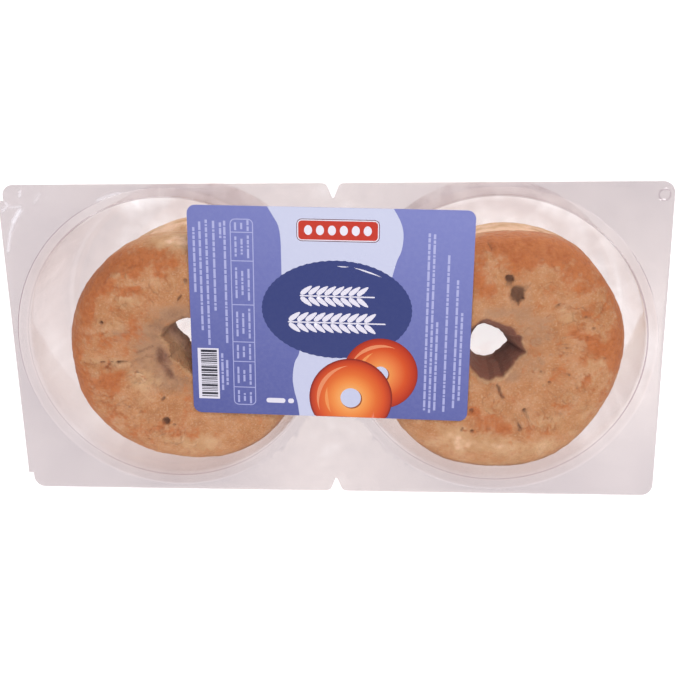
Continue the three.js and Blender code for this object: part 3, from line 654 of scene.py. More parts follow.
def baked_crust():
    """Bread crust: matt-satin baked dough. Tan and cloudy all over, deeper orange where the oven
    caught it, pale and floury where it leaned on the pan or its neighbour, greyer where steam
    kept it soft round the hole, dark in burst bubbles and broken blister rims. Painted light and
    shade lie on top: the hole's wall, the dimples and the crust round the lip darkened as painted
    shade, pits and furrows darker partly as painted shade, and shaded sides and walls lightened as
    painted light, up to an extra-pale layer. Roughness about 0.6 with a faint gleam, and a fine
    relief of pores and wrinkles."""
    tree, material = new_material("baked_bagel_crust")
    where = node(tree, "TexCoord").outputs["Object"]
    clouds, mottle, speckle, pores = (
        node(tree, "TexNoise",
             {"Vector": where, "Scale": PER_MM / size, "Detail": detail, "Roughness": rough})
        for size, detail, rough in ((9, 5.0, 0.6), (2.4, 4.0, 0.6), (0.9, 2.0, 0.5), (1.1, 3.0, 0.6)))

    dough = node(tree, "ValToRGB", {"Fac": clouds}, [(0.34, "#B87E4E"), (0.5, "#C58C5C"), (0.66, "#CD9B70")])
    rich = node(tree, "ValToRGB", {"Fac": mottle}, [(0.35, "#B05C24"), (0.65, "#C5743C")])
    flour = node(tree, "ValToRGB", {"Fac": clouds}, [(0.4, "#C79A6C"), (0.6, "#D4AB80")])
    # Fine specks: the noise they come from, where they start and are full, how dense, their colour.
    colour = dough
    for grain, start, full, dense, code in ((speckle, 0.52, 0.72, 0.5, "#D8B48D"),
                                            (mottle, 0.46, 0.3, 0.45, "#AD734B")):
        reach = {"Value": grain, "From Min": start, "From Max": full, "To Max": dense}
        specks = node(tree, "MapRange", reach)
        colour = node(tree, "Mix", {"Factor": specks, "A": colour, "B": srgb(code)}, data_type="RGBA")

    # Layers over the dough: the tone's attribute, noise that frays its edge and by how much, the
    # tone's value where the layer starts and where it is full, how dense it gets, its colour.
    layers = [
        # The ash layer is partly painted shade, where its patches lie round the hole's lip.
        ("ash_and_shade", clouds, 0.8, 0.1, 1.0, 0.75, srgb("#B08968")),
        ("pale", mottle, 1.0, 0.2, 0.95, 0.9, flour),
        # The second, lighter pale layer is mostly painted light, on the lower bagels' sides and the holes'
        # walls.
        ("pale", clouds, 0.6, 0.9, 2.1, 0.85, srgb("#FAD4B2")),
        ("baked", mottle, 1.1, 0.25, 1.1, 0.85, rich),
        # The mark layer is partly painted shade in pits, furrows and wrinkle troughs.
        ("mark_and_shade", speckle, 0.5, 0.1, 1.0, 0.9, srgb("#64402B")),
        # The hollow layer is painted shade over the hole's own brown wall and in the dimples.
        ("hollow_and_shade", mottle, 0.5, 0.05, 0.9, 0.9, srgb("#86503F")),
    ]
    for key, grain, fray, start, full, dense, over in layers:
        tone = node(tree, "Attribute", attribute_name=key).outputs["Fac"]
        frayed = node(tree, "Math", {0: grain, 1: fray, 2: tone}, operation="MULTIPLY_ADD")
        reach = {"Value": frayed, "From Min": start + fray / 2, "From Max": full + fray / 2, "To Max": dense}
        share = node(tree, "MapRange", reach, interpolation_type="SMOOTHSTEP")
        colour = node(tree, "Mix", {"Factor": share, "A": colour, "B": over}, data_type="RGBA")

    relief = node(tree, "Math", {0: mottle, 1: 1.4, 2: pores}, operation="MULTIPLY_ADD")
    bump = node(tree, "Bump", {"Height": relief, "Distance": 0.45 * MM})
    rough = node(tree, "MapRange",
                 {"Value": mottle, "From Min": 0.3, "From Max": 0.7, "To Min": 0.5, "To Max": 0.68})
    # The painted shade of the hole's wall also sets where the crust is glossier.
    shaded_wall = node(tree, "Attribute", attribute_name="hollow_and_shade").outputs["Fac"]
    gleam = node(tree, "MapRange", {"Value": shaded_wall, "To Min": 0.28, "To Max": 0.8})
    surface = node(tree, "BsdfPrincipled", {
        "Base Color": colour, "Roughness": rough, "IOR": 1.45, "Specular IOR Level": gleam,
        "Subsurface Weight": 0.1, "Subsurface Radius": (1.0, 0.45, 0.22), "Subsurface Scale": 1.2 * MM,
        "Sheen Weight": 0.12, "Sheen Roughness": 0.45, "Sheen Tint": srgb("#F2D2B6"), "Normal": bump})
    node(tree, "OutputMaterial", {"Surface": surface})
    return material


def printed_paper(name, plus_y_code, minus_y_code, mottling):
    """Coated label paper under ink: a flat colour, lighter towards +Y and a little towards +X as
    painted sheen of the studio light, a faint press mottle, a satin gleam and a barely felt paper
    grain."""
    tree, material = new_material(name)
    where = node(tree, "TexCoord").outputs["Object"]
    places = node(tree, "SeparateXYZ", {"Vector": where}).outputs
    # Painted sheen: the ink lightens towards +Y and a little towards +X.
    slant = node(tree, "Math", {0: places["X"], 1: 0.3, 2: places["Y"]}, operation="MULTIPLY_ADD")
    fade = node(tree, "MapRange", {"Value": slant, "From Min": -50 * MM, "From Max": 70 * MM})
    inks = {"Factor": fade, "A": srgb(minus_y_code), "B": srgb(plus_y_code)}
    ink = node(tree, "Mix", inks, data_type="RGBA")
    mottle = node(tree, "TexNoise", {"Vector": where, "Scale": PER_MM / 1.4, "Detail": 3.0, "Roughness": 0.6})
    thin = node(tree, "MapRange", {"Value": mottle, "From Min": 0.4, "From Max": 0.7, "To Max": mottling})
    ink = node(tree, "Mix", {"Factor": thin, "A": ink, "B": WHITE}, data_type="RGBA")
    grain = node(tree, "TexNoise", {"Vector": where, "Scale": PER_MM / 0.35, "Detail": 2.0})
    bump = node(tree, "Bump", {"Height": grain, "Strength": 0.25, "Distance": 0.02 * MM})
    paper = {"Base Color": ink, "Roughness": PAPER_ROUGHNESS, "IOR": PAPER_IOR, "Normal": bump}
    node(tree, "OutputMaterial", {"Surface": node(tree, "BsdfPrincipled", paper)})
    return material


def ring_ink(name, ring):
    """Printed ring on the same satin paper: inks that run from a red-brown rim through orange to
    a light orange by the hole."""
    tree, material = new_material(name)
    where = node(tree, "TexCoord").outputs["Object"]
    middle = [value * MM for value in (*to_pack(ring["at"]), LABEL_HIGH.z)]
    apart = node(tree, "VectorMath", {0: where, 1: middle}, operation="DISTANCE")
    hole, edge = ring["hole"] * MM, ring["radius"] * MM
    place = node(tree, "MapRange", {"Value": apart, "From Min": hole, "From Max": edge})
    colour = node(tree, "ValToRGB", {"Fac": place}, ring["inks"])
    paper = {"Base Color": colour, "Roughness": PAPER_ROUGHNESS, "IOR": PAPER_IOR}
    node(tree, "OutputMaterial", {"Surface": node(tree, "BsdfPrincipled", paper)})
    return material


def pale_floor():
    """Plain white studio sweep lit from beneath, so that it stays bright under the clear pack."""
    tree, material = new_material("white_studio_floor")
    surface = node(tree, "BsdfPrincipled", {
        "Base Color": srgb("#9A9A9A"), "Roughness": 0.9, "Emission Color": WHITE, "Emission Strength": 0.98})
    node(tree, "OutputMaterial", {"Surface": surface})
    return material


# ---- Bagel crusts ----


def seeded(seed):
    """A repeatable stream of numbers from 0 to 1, by the usual 32-bit congruential rule."""
    state = seed * 2654435761 % 2 ** 32
    while True:
        state = (state * 1664525 + 1013904223) % 2 ** 32
        yield state / 2 ** 32


def seeded_bulges(stream, most, size):
    """Waves round a ring with 2 to `most` crests, weaker as they shorten."""
    bulges = []
    for crests in range(2, most + 1):
        high = size * (0.4 + next(stream)) / crests
        bulges.append((crests, high, 360 * next(stream)))
    return bulges


def ring_wave(bulges, angle):
    """Sum of a ring's waves at an angle."""
    return sum(size * np.cos(crests * (angle - math.radians(peak))) for crests, size, peak in bulges)


def squared(value, power):
    """Squares off a sine or cosine when the power is below 1."""
    return np.sign(value) * np.abs(value) ** power


def by_angle(table, angle):
    """Value at an angle in radians, from a table of (degrees, value)."""
    turns, values = np.array(table).T
    return np.interp(np.degrees(angle), turns, values, period=360)


def oval_distance(x, y, middle_x, middle_y, half_x, half_y, turn):
    """Distance from the middle of a turned oval, 1 on its edge."""
    c, s = math.cos(math.radians(turn)), math.sin(math.radians(turn))
    dx, dy = x - middle_x, y - middle_y
    return np.hypot((dx * c + dy * s) / half_x, (dy * c - dx * s) / half_y)


def noise_field(points, size, offset, octaves=1):
    """Perlin noise, about -1 to 1, at points in millimetres, with blobs of `size`; each further
    octave adds blobs half as large."""
    flat = (Vector(p) for p in points.reshape(-1, 3) / size + offset)
    if octaves == 1:
        values = (noise.noise(p) for p in flat)
    else:
        values = (noise.fractal(p, 0.9, 2.0, octaves) for p in flat)
    return np.fromiter(values, float).reshape(points.shape[:-1])


def section_turns(count):
    """Turns round the bagel's section, evenly spaced but half as close on the hidden underside."""
    dense = np.linspace(0, 2 * np.pi, 4001)
    across, up = section_form(dense)
    weight = np.where(np.sin(dense) > -0.3, 1.0, 0.45)[:-1]
    weight = weight * np.hypot(SECTION_HALF_WIDTH * np.diff(across), BAGEL_HEIGHT / 2 * np.diff(up))
    length = np.concatenate([[0], np.cumsum(weight)])
    return np.interp(np.linspace(0, length[-1], count, endpoint=False), length, dense)


def section_form(turn):
    """Place on the bagel's section: across from hole (-1) to edge (1), and up from -1 to 1. The
    top face turns down sharply into the hole and softly at the edge."""
    lip = (np.sin(turn) > 0) & (np.cos(turn) < 0)
    across = squared(np.cos(turn), np.where(lip, LIP_SQUARENESS, SECTION_SQUARENESS))
    crown = np.where(lip, LIP_SQUARENESS, CROWN_SQUARENESS)
    return across, squared(np.sin(turn), np.where(np.sin(turn) > 0, crown, BASE_SQUARENESS))


def wall_radius(z):
    """Radius of a well's inner wall at a height."""
    below = np.maximum(0, FLANGE_TOP - STEP_DEPTH - z)
    return MOUTH_RADIUS - below * math.tan(WALL_DRAFT)


def bagel_points(bagel, bottom):
    """The bagel's smooth form: points round the ring and round its section, with `up` there and
    the share of the way from the hole to the edge."""
    stream = seeded(bagel["seed"])
    hole_bulges = seeded_bulges(stream, 5, HOLE_UNEVENNESS)
    crown_bulges = seeded_bulges(stream, 6, CROWN_UNEVENNESS)
    hole = bagel["hole"]
    angle = np.linspace(0, 2 * np.pi, bagel["around"], endpoint=False)[:, None]
    across, up = section_form(section_turns(bagel["section"])[None, :])
    share, mouth = (1 + across) / 2, 0.5 + 0.5 * up
    shifts = [by_angle(bagel["outline"], angle + math.radians(turn)) for turn in (-8, -4, 0, 4, 8)]
    outer = bagel["radius"] + ring_wave(bagel["bulges"], angle) + np.mean(shifts, axis=0)
    waist = by_angle(hole["waist"], angle) + ring_wave(hole_bulges, angle)
    inner = waist + hole["flare"] * mouth * (1 - share)
    if "lip" in bagel:
        inner = inner + (by_angle(bagel["lip"], angle) - inner) * mouth ** hole["fade"]
    x, y = (
        (at + lean * (1 - mouth) + inner * turned) * (1 - share) + outer * turned * share
        for at, lean, turned in zip(hole["at"], hole["lean"], (np.cos(angle), np.sin(angle))))
    z = bottom + BAGEL_HEIGHT * mouth + 0 * x
    rise = ring_wave(crown_bulges, angle)
    for x1, y1, x2, y2, spread, depth in bagel.get("dents", []):
        rise = rise - depth * np.exp(-(from_segment(x, y, (x1, y1), (x2, y2)) / spread) ** 2)
    z = np.clip(z + np.where(up > 0, rise * up, 0), bottom, bottom + BAGEL_HEIGHT)
    return np.stack([x, y, z], axis=-1), up + 0 * x, share + 0 * x


def grid_normals(points):
    """Outward normals of a grid that closes both ways."""
    along = np.roll(points, -1, 0) - np.roll(points, 1, 0)
    round_section = np.roll(points, -1, 1) - np.roll(points, 1, 1)
    normals = np.cross(along, round_section)
    return normals / np.maximum(np.linalg.norm(normals, axis=-1, keepdims=True), 1e-9)


def lace_blisters(bagel, x, y, wrinkle):
    """Clusters of small blisters: how much of a broken dark rim and of a pale inside is there."""
    stream = seeded(bagel["seed"] + 100)
    rim, inside = 0 * x, 0 * x
    for middle_x, middle_y, half_x, half_y, turn, count in bagel.get("lace", []):
        c, s = math.cos(math.radians(turn)), math.sin(math.radians(turn))
        for _ in range(count):
            reach, way = math.sqrt(next(stream)), 2 * math.pi * next(stream)
            px, py = half_x * reach * math.cos(way), half_y * reach * math.sin(way)
            radius = LACE_RADIUS + LACE_GROWTH * next(stream) ** 2
            gap = 2 * math.pi * next(stream)
            dx, dy = x - middle_x - px * c + py * s, y - middle_y - px * s - py * c
            away = np.hypot(dx, dy)
            facing = (dx * math.cos(gap) + dy * math.sin(gap)) / np.maximum(away, 0.1)
            away = away + 0.9 * wrinkle
            broken = np.clip(1.7 * facing - 0.4, 0, 1)
            rim = np.maximum(rim, np.exp(-((away - radius) / LACE_RIM) ** 2) * broken)
            inside = np.maximum(inside, np.clip((radius - away) * 2.2, 0, 1))
    return rim, inside


def crust_relief(bagel, points, up, share):
    """Height of the crust's relief, millimetres, and its tones, each from 0 to about 1."""
    x, y = points[..., 0], points[..., 1]
    top = np.clip(up * 1.6, 0, 1)
    seed = bagel["seed"] * 1.37
    grains = {name: noise_field(points, size, seed + place, octaves)
              for name, (size, place, octaves, _) in GRAINS.items()}
    height = sum(rise * grains[name] for name, (_, _, _, rise) in GRAINS.items())
    swell, lump, wrinkle, grain, fleck = grains.values()

    rim, inside = lace_blisters(bagel, x, y, wrinkle)
    height += (0.16 * inside - 0.2 * rim) * top
    tones = {
        "hollow_and_shade": 0 * x,
        "baked": 0.14 + 0.42 * fleck + 0.3 * grain + 0.3 * rim * top,
        "pale": 0.05 - 0.3 * swell + 0.3 * wrinkle + 0.15 * inside * top + 0.8 * np.clip(-up - 0.1, 0, 1),
        "ash_and_shade": (0.3 * np.clip(1 - share / 0.3, 0, 1) + 0.3 * inside) * top,
        # Dark along the lace rims and in the troughs of the wrinkles: partly painted shade.
        "mark_and_shade": 0.38 * rim * top + 0.9 * np.clip(-wrinkle - 0.58, 0, 1) * top,
    }
    for key, patches in bagel["patches"].items():
        for *oval, strength in patches:
            away = oval_distance(x, y, *oval) + 0.3 * lump
            tones[key] = tones[key] + strength * np.exp(-away ** 2) * (0.4 + 0.6 * top)
    edge = np.clip((share - 0.84) / 0.14, 0, 1) * np.clip(0.7 + up, 0, 1)
    tones["baked"] += by_angle(bagel["rim"], np.arctan2(y, x)) * edge
    for level, thick in bagel.get("seams", []):
        seam = np.exp(-((up - level + 0.12 * lump) / thick) ** 2) * np.clip(share * 4 - 3, 0, 1)
        tones["pale"] += 0.8 * seam

    add_marks(bagel, x, y, top, grains, height, tones)
    tint_hole(bagel, x, y, up, share, grain, tones)
    return height, tones


def add_marks(bagel, x, y, top, grains, height, tones):
    """Pits, blisters and folds, pressed into the height and laid over the tones."""
    lump, wrinkle, grain = (grains[name] for name in ("lump", "wrinkle", "grain"))
    # A pit has a ragged edge, a steep wall and a low rim outside it; its dark tone, deeper the deeper
    # the pit, is partly painted shade.
    for px, py, length, width, turn, depth, key in bagel.get("pits", []):
        away = oval_distance(x, y, px, py, 0.46 * length, 0.46 * width, turn) + 0.2 * wrinkle + 0.22 * grain
        pit = 0.5 - 0.5 * np.tanh(2.5 * (away - 1))
        height += (0.2 * min(1, depth) * np.exp(-((away - 1.5) / 0.35) ** 2) - depth * pit) * top
        tones[key] = np.maximum(tones[key], pit * top * min(1.3, 0.5 + 0.35 * depth))
    # A blister is a raised, paler ring round a slightly sunken skin, broken dark on its outside.
    for px, py, radius in bagel.get("blisters", []):
        away = np.hypot(x - px, y - py) + 1.1 * wrinkle
        rise = np.exp(-((away - radius) / 0.5) ** 2)
        outside = np.exp(-((away - radius - 0.6) / 0.4) ** 2)
        height += (0.22 * rise - 0.12 * (away < radius)) * top
        tones["pale"] += 0.4 * rise * top
        tones["mark_and_shade"] = np.maximum(tones["mark_and_shade"], 0.5 * outside * top * np.clip(0.5 + 1.5 * lump, 0, 1))
    # A fold is a ridge or a furrow between two points; a dark tone along a furrow is partly painted shade.
    for x1, y1, x2, y2, width, rise, key, strength in bagel.get("folds", []):
        away = from_segment(x + 0.8 * wrinkle, y + 0.8 * grain, (x1, y1), (x2, y2))
        fold = np.exp(-(away / width) ** 2) * top
        height += rise * fold
        tones[key] = np.maximum(tones[key], strength * fold)


def tint_hole(bagel, x, y, up, share, grain, tones):
    """Tones of the hole: its brown wall, darkened below the lip as painted shade and lightened as
    painted light at its foot and where it has less painted shade, and the torn lip.
    """
    hole = bagel["hole"]
    wall = np.clip(1.15 - share / 0.05, 0, 1)
    # Painted shade on the hole's wall, fullest from just below the lip down to its middle.
    wall_shade = hole["wall_shade"] * wall * np.clip(7 * (1 - up), 0, 1) * np.clip(1.1 + 1.2 * up, 0.2, 1)
    tones["hollow_and_shade"] = np.maximum(tones["hollow_and_shade"], wall_shade)
    # Painted light on the hole's wall, the more the less painted shade it gets.
    tones["pale"] += 3.4 * wall * (1 - hole["wall_shade"]) * np.clip(0.9 - up, 0, 1)
    # Painted light at the wall's foot, as if lit from beneath.
    tones["pale"] += 1.4 * wall * np.clip(-1 - 2.2 * up, 0, 1)
    if "torn" in bagel:
        ragged = by_angle(bagel["torn"], np.arctan2(y - hole["at"][1], x - hole["at"][0]))
        torn = ragged * np.exp(-((share - 0.012 + 0.01 * grain) / 0.018) ** 2) * np.clip(up * 4 - 2.8, 0, 1)
        # The torn edge is paler, partly as torn crumb and partly as a painted highlight on its lit rim.
        tones["pale"] += 1.4 * torn
        for key in ("hollow_and_shade", "ash_and_shade"):
            tones[key] = tones[key] * (1 - np.clip(torn, 0, 1))


def make_bagel(name, bagel, material):
    """One bagel's crust as a single closed grid, kept clear of its well's wall."""
    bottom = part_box(name)[0].z / MM
    points, up, share = bagel_points(bagel, bottom)
    height, tones = crust_relief(bagel, points, up, share)
    points = points + grid_normals(points) * height[..., None]
    points[..., 2] = np.clip(points[..., 2], bottom, bottom + BAGEL_HEIGHT)
    points[..., :2] += bagel["middle"]
    reach = np.hypot(points[..., 0], points[..., 1])
    points[..., :2] *= np.minimum(1, (wall_radius(points[..., 2]) - WALL_GAP) / reach)[..., None]
    points[..., 0] += bagel["well"] * WELL_X
    around, section = points.shape[:2]
    i, j = np.meshgrid(np.arange(around), np.arange(section), indexing="ij")
    after, beside = (i + 1) % around, (j + 1) % section
    corners = ((i, j), (after, j), (after, beside), (i, beside))
    quads = np.stack([row * section + column for row, column in corners], -1)
    mesh = bpy.data.meshes.new(name + "_crust")
    mesh.from_pydata((points.reshape(-1, 3) * MM).tolist(), [], quads.reshape(-1, 4).tolist())
    mesh.polygons.foreach_set("use_smooth", [True] * len(mesh.polygons))
    for key, values in tones.items():
        layer = mesh.attributes.new(key, "FLOAT", "POINT")
        layer.data.foreach_set("value", values.astype(np.float32).ravel())
    finish_piece(linked(name + "_crust", mesh, [material]), name)


# ---- Clear tray and film ----

WELL_AROUND = 180
WALL_STEPS = 13
SHEET_GRID = 3
# How much haze each well loses at its +X end, where the sheet was drawn thin.
THINNED_END = {-1: 0, 1: 0.6}

# By angle round each well, -1 on the left and 1 on the right: how much painted reflection of the
# crust's orange-brown colour its wall carries, and how clear both walls were drawn towards +Y.
# Both set in gradually: the painted reflection above the floor and the clearness below the flange.
WALL_PAINTED_REFLECTION = {
    -1: [(-180, 0.2), (-150, 0.3), (-135, 0), (-120, 0.6), (-105, 0.9), (-90, 1), (-75, 0.9), (-60, 0.3),
         (-45, 0), (120, 0), (135, 0.6), (150, 0.7), (165, 0.2)],
    1: [(-135, 0), (-120, 0.6), (-105, 0.8), (-90, 0.6), (-75, 0.8), (-60, 0.7), (-45, 0.2), (-30, 0.3),
        (-15, 0.5), (0, 0.2), (12, 0.75), (28, 0.6), (45, 0), (180, 0)],
}
WALL_CLEARED = [(35, 0), (50, 0.6), (75, 1), (118, 1), (130, 0)]
PAINTED_REFLECTION_RISE = 30
CLEARED_FALL = 10

# Painted shade along the two bends round each well, by angle: the outer step and the mouth.
BEND_SHADE = {
    -1: {
        "step": [(-180, 0.7), (-150, 0.15), (-90, 0), (0, 0), (90, 0), (108, 0), (116, 0.6), (124, 1),
                 (170, 1)],
        "mouth": [(-180, 0.2), (-90, 0.4), (0, 0.3), (70, 0.5), (85, 1), (130, 1), (148, 0.3)],
    },
    1: {
        "step": [(-90, 0), (0, 0.1), (18, 0.2), (22, 0.9), (34, 0.9), (38, 0.1), (60, 0), (180, 0)],
        "mouth": [(-90, 0.4), (-40, 0.4), (-25, 0.8), (0, 1), (60, 1), (100, 0.9), (120, 0.5), (180, 0.3)],
    },
}

# The well's step: inwards from its edge, down from the flange, haze, and the bend that it is part of.
STEP_PROFILE = [
    (0, 0, 0.9, None),
    (0.2, 0.12, 0.8, "step"),
    (0.4, 0.4, 0.8, "plain"),
    (STEP_SLOPE + 0.05, STEP_DEPTH - 0.35, 0.8, "plain"),
    (STEP_SLOPE + 0.25, STEP_DEPTH - 0.08, 0.8, "plain"),
    (STEP_SLOPE + 0.6, STEP_DEPTH, 0.75, None),
    (STEP_RADIUS - MOUTH_RADIUS - MOUTH_ROUNDING - 0.2, STEP_DEPTH, 0.7, None),
]
# The well's floor: radius and haze.
FLOOR_PROFILE = [(50, 0.4), (36, 0.15), (24, 0), (12, 0)]

# Haze of the flange, and where it is more or less: x, reach along X and Y, how much.
FLANGE_HAZE = 0.88
FLANGE_CLOUDS = [(0, 36, math.inf, -0.5), (128, 26, 45, -0.65), (-130, 20, 40, 0.12)]

# Small ring pressed into a corner of the flange, and the radii at which the sheet is cut finer.
# The ring's dark value is painted shade along its pressed line.
RING_MARK = {"at": (137.0, 64.4), "radius": 2.3, "width": 0.35, "height": 0.3, "dark": 0.3}
RING_MARK_GRID = np.linspace(0.6, 3.6, 11)

# Waves: height, length along X and Y, place in the noise. The film has ripples over the sheet's.
SHEET_WAVE = (0.24, 45, 30, 0.4)
RIPPLES = [(0.08, 14, 26, 3.7), (0.035, 5, 9, 8.1)]

BENT_CORNER = {"at": (-139, 62), "reach": 20, "lift": 0.9}
# Wrinkles round the bent corner: arcs about a far point, their height, how fast they follow and
# at how many of the corner's reaches they end.
CORNER_WRINKLES = {"about": (-150, 30), "height": 0.22, "pace": 1.15, "reach": 1.4}

# Hard creases of the film, white partly by stress whitening and partly as painted glare: points,
# half width and how white they are.
CREASES_AND_GLARE = [
    ([(-130.5, 67.4), (-131, 65.3)], 0.5, 0.5),
    ([(-131.4, 59.1), (-133.2, 57), (-135.1, 53.9)], 0.8, 0.75),
    ([(-135.1, 53.9), (-136.8, 49.5), (-138.8, 41.4)], 0.6, 0.5),
    ([(-139.6, 58.5), (-136.8, 61.3), (-137.6, 62.5)], 0.5, 0.45),
    ([(-135.6, 60.4), (-131.2, 60.7)], 0.45, 0.4),
    ([(-97.5, 63.3), (-93.1, 65.2), (-88.1, 66.3)], 0.6, 0.35),
    ([(-124.8, 62.5), (-122.3, 65.9)], 0.6, 0.15),
]
FINE_PATCHES = [((-139.6, 40), (-121, 68.5), 0.55), ((-99, 61.5), (-86.5, 67.5), 0.6)]


def from_step(x, y):
    """Distance from the nearer well's step, negative inside it."""
    return min(math.hypot(x - side * WELL_X, y) for side in (-1, 1)) - STEP_RADIUS


def bent_corner(x, y):
    """Distance from the lifted corner, 1 where the lift has died out."""
    return math.dist((x, y), BENT_CORNER["at"]) / BENT_CORNER["reach"]


def wave(x, y, height, along, across, place):
    """Smooth unevenness of a sheet, of one height and of one length along each axis."""
    return height * noise.noise(Vector((x / along, y / across, place)))


def sheet_wave(x, y):
    """Slow unevenness of the flange and of the film that follows it. Zero round the wells."""
    calm = 1.0
    for side in (-1, 1):
        away = math.hypot(x - side * WELL_X, y) - STEP_RADIUS
        calm *= min(1, max(0, away / CALM_REACH))
    return wave(x, y, *SHEET_WAVE) * calm - BENT_CORNER["lift"] * max(0, 1 - bent_corner(x, y)) ** 2


def crease_at(x, y):
    """How creased the film is at a point, which also sets its painted glare."""
    found = 0.0
    for points, width, white in CREASES_AND_GLARE:
        for start, end in zip(points, points[1:]):
            away = float(from_segment(x, y, start, end)) + 0.25 * noise.noise(Vector((x, y, 2.0)))
            found = max(found, white * math.exp(-(away / width) ** 2))
    return found


def film_wave(x, y):
    """Height of the film over its seat: it follows the flange and carries thin ripples."""
    ripple = sum(wave(x, y, *each) for each in RIPPLES)
    fading = 1 - bent_corner(x, y) / CORNER_WRINKLES["reach"]
    if fading > 0:
        away = math.dist((x, y), CORNER_WRINKLES["about"])
        ripple += CORNER_WRINKLES["height"] * math.sin(away * CORNER_WRINKLES["pace"]) * fading
    return sheet_wave(x, y) + ripple


def well_profile():
    """Inner and outer skin of a well, from the flange to the middle of the floor. Each row is its
    radius and height, its haze and which bend it is part of: one with an angle table, or a plain one."""
    t = TRAY_SHEET
    ledge = FLANGE_TOP - STEP_DEPTH
    wall_top, wall_foot = ledge - MOUTH_ROUNDING, t + FOOT_ROUNDING
    foot = wall_radius(wall_foot) - FOOT_ROUNDING
    inner = [(STEP_RADIUS - away, FLANGE_TOP - down, haze, line) for away, down, haze, line in STEP_PROFILE]
    outer = [(r + 0.2, z - t, haze, line) for r, z, haze, line in inner]
    outer[0] = (STEP_RADIUS, FLANGE_TOP - t, 0.9, None)
    for degrees, line in ((30, "plain"), (60, "mouth"), (90, "plain")):
        turn = math.radians(degrees)
        radius = MOUTH_RADIUS + MOUTH_ROUNDING * (1 - math.sin(turn))
        z = ledge - MOUTH_ROUNDING * (1 - math.cos(turn))
        inner.append((radius, z, 0.6, line))
        outer.append((radius + 0.8 * t, z - 0.8 * t, 0.6, line))
    for step in range(1, WALL_STEPS):
        share = step / WALL_STEPS
        z = wall_top + (wall_foot - wall_top) * share
        haze = 0.35 + (share - 0.5) ** 2
        inner.append((wall_radius(z), z, haze, None))
        outer.append((wall_radius(z) + t, z - 0.2 * t, haze, None))
    for degrees in range(0, 91, 15):
        reach, sunk = math.cos(math.radians(degrees)), math.sin(math.radians(degrees))
        radius, z = foot + FOOT_ROUNDING * reach, wall_foot - FOOT_ROUNDING * sunk
        inner.append((radius, z, 0.5, None))
        outer.append((radius + t * reach, z - t * sunk, 0.5, None))
    for radius, haze in FLOOR_PROFILE:
        inner.append((radius, t, haze, None))
        outer.append((radius, 0, haze, None))
    return inner, outer


def lathe(bm, profile, side):
    """Skin turned round a well's axis and closed at its middle, with what its material asks for."""
    haze, line, dull, painted_warm_reflection = (bm.verts.layers.float[key] for key in TRAY_LAYERS)
    floor_radius = FLOOR_PROFILE[0][0]
    rings = []
    for radius, z, hazy, bent in profile:
        ring = []
        walled = 1 if z < FLANGE_TOP - STEP_DEPTH and radius > floor_radius else 0
        for x, y in ellipse(0, 0, radius, radius, WELL_AROUND):
            made = bm.verts.new((side * WELL_X + x, y, z))
            angle = math.atan2(y, x)
            sunk = min(1, (FLANGE_TOP - z) / CLEARED_FALL)
            cleared = walled * float(by_angle(WALL_CLEARED, angle)) * sunk
            thinner = THINNED_END[side] * max(0, x / radius) ** 3
            made[haze] = hazy * (1 - thinner) * (1 - cleared)
            # Painted shade along the bend that this ring is part of.
            made[line] = by_angle(BEND_SHADE[side][bent], angle) if bent in BEND_SHADE[side] else 0
            made[dull] = 1 if bent else 0.8 * cleared
            # Painted reflection of the crust in the wall, fading in above the floor.
            risen = min(1, z / PAINTED_REFLECTION_RISE)
            made[painted_warm_reflection] = walled * float(by_angle(WALL_PAINTED_REFLECTION[side], angle)) * risen
            ring.append(made)
        rings.append(ring)
    for a, b in zip(rings, rings[1:]):
        for i in range(WELL_AROUND):
            bm.faces.new((a[i], a[i - 1], b[i - 1], b[i]))
    middle = bm.verts.new((side * WELL_X, 0, profile[-1][1]))
    for i in range(WELL_AROUND):
        bm.faces.new((rings[-1][i], rings[-1][i - 1], middle))


def ring_mark(x, y):
    """The small ring pressed into the flange's corner, 1 on its line."""
    off = math.dist((x, y), RING_MARK["at"]) - RING_MARK["radius"]
    return math.exp(-(off / RING_MARK["width"]) ** 2)


def flange_height(x, y):
    """Top of the flange, level where it meets the wells' steps."""
    loose = min(1, abs(from_step(x, y)) / CALM_REACH)
    return FLANGE_TOP + (sheet_wave(x, y) - 0.05) * loose + RING_MARK["height"] * ring_mark(x, y)


def flange_haze(x, y):
    """Haze of the flange's sheet: thickest at the corners, drawn thinner between the wells."""
    return FLANGE_HAZE + sum(more * math.exp(-((x - middle) / along) ** 2 - (y / across) ** 2)
                             for middle, along, across, more in FLANGE_CLOUDS)


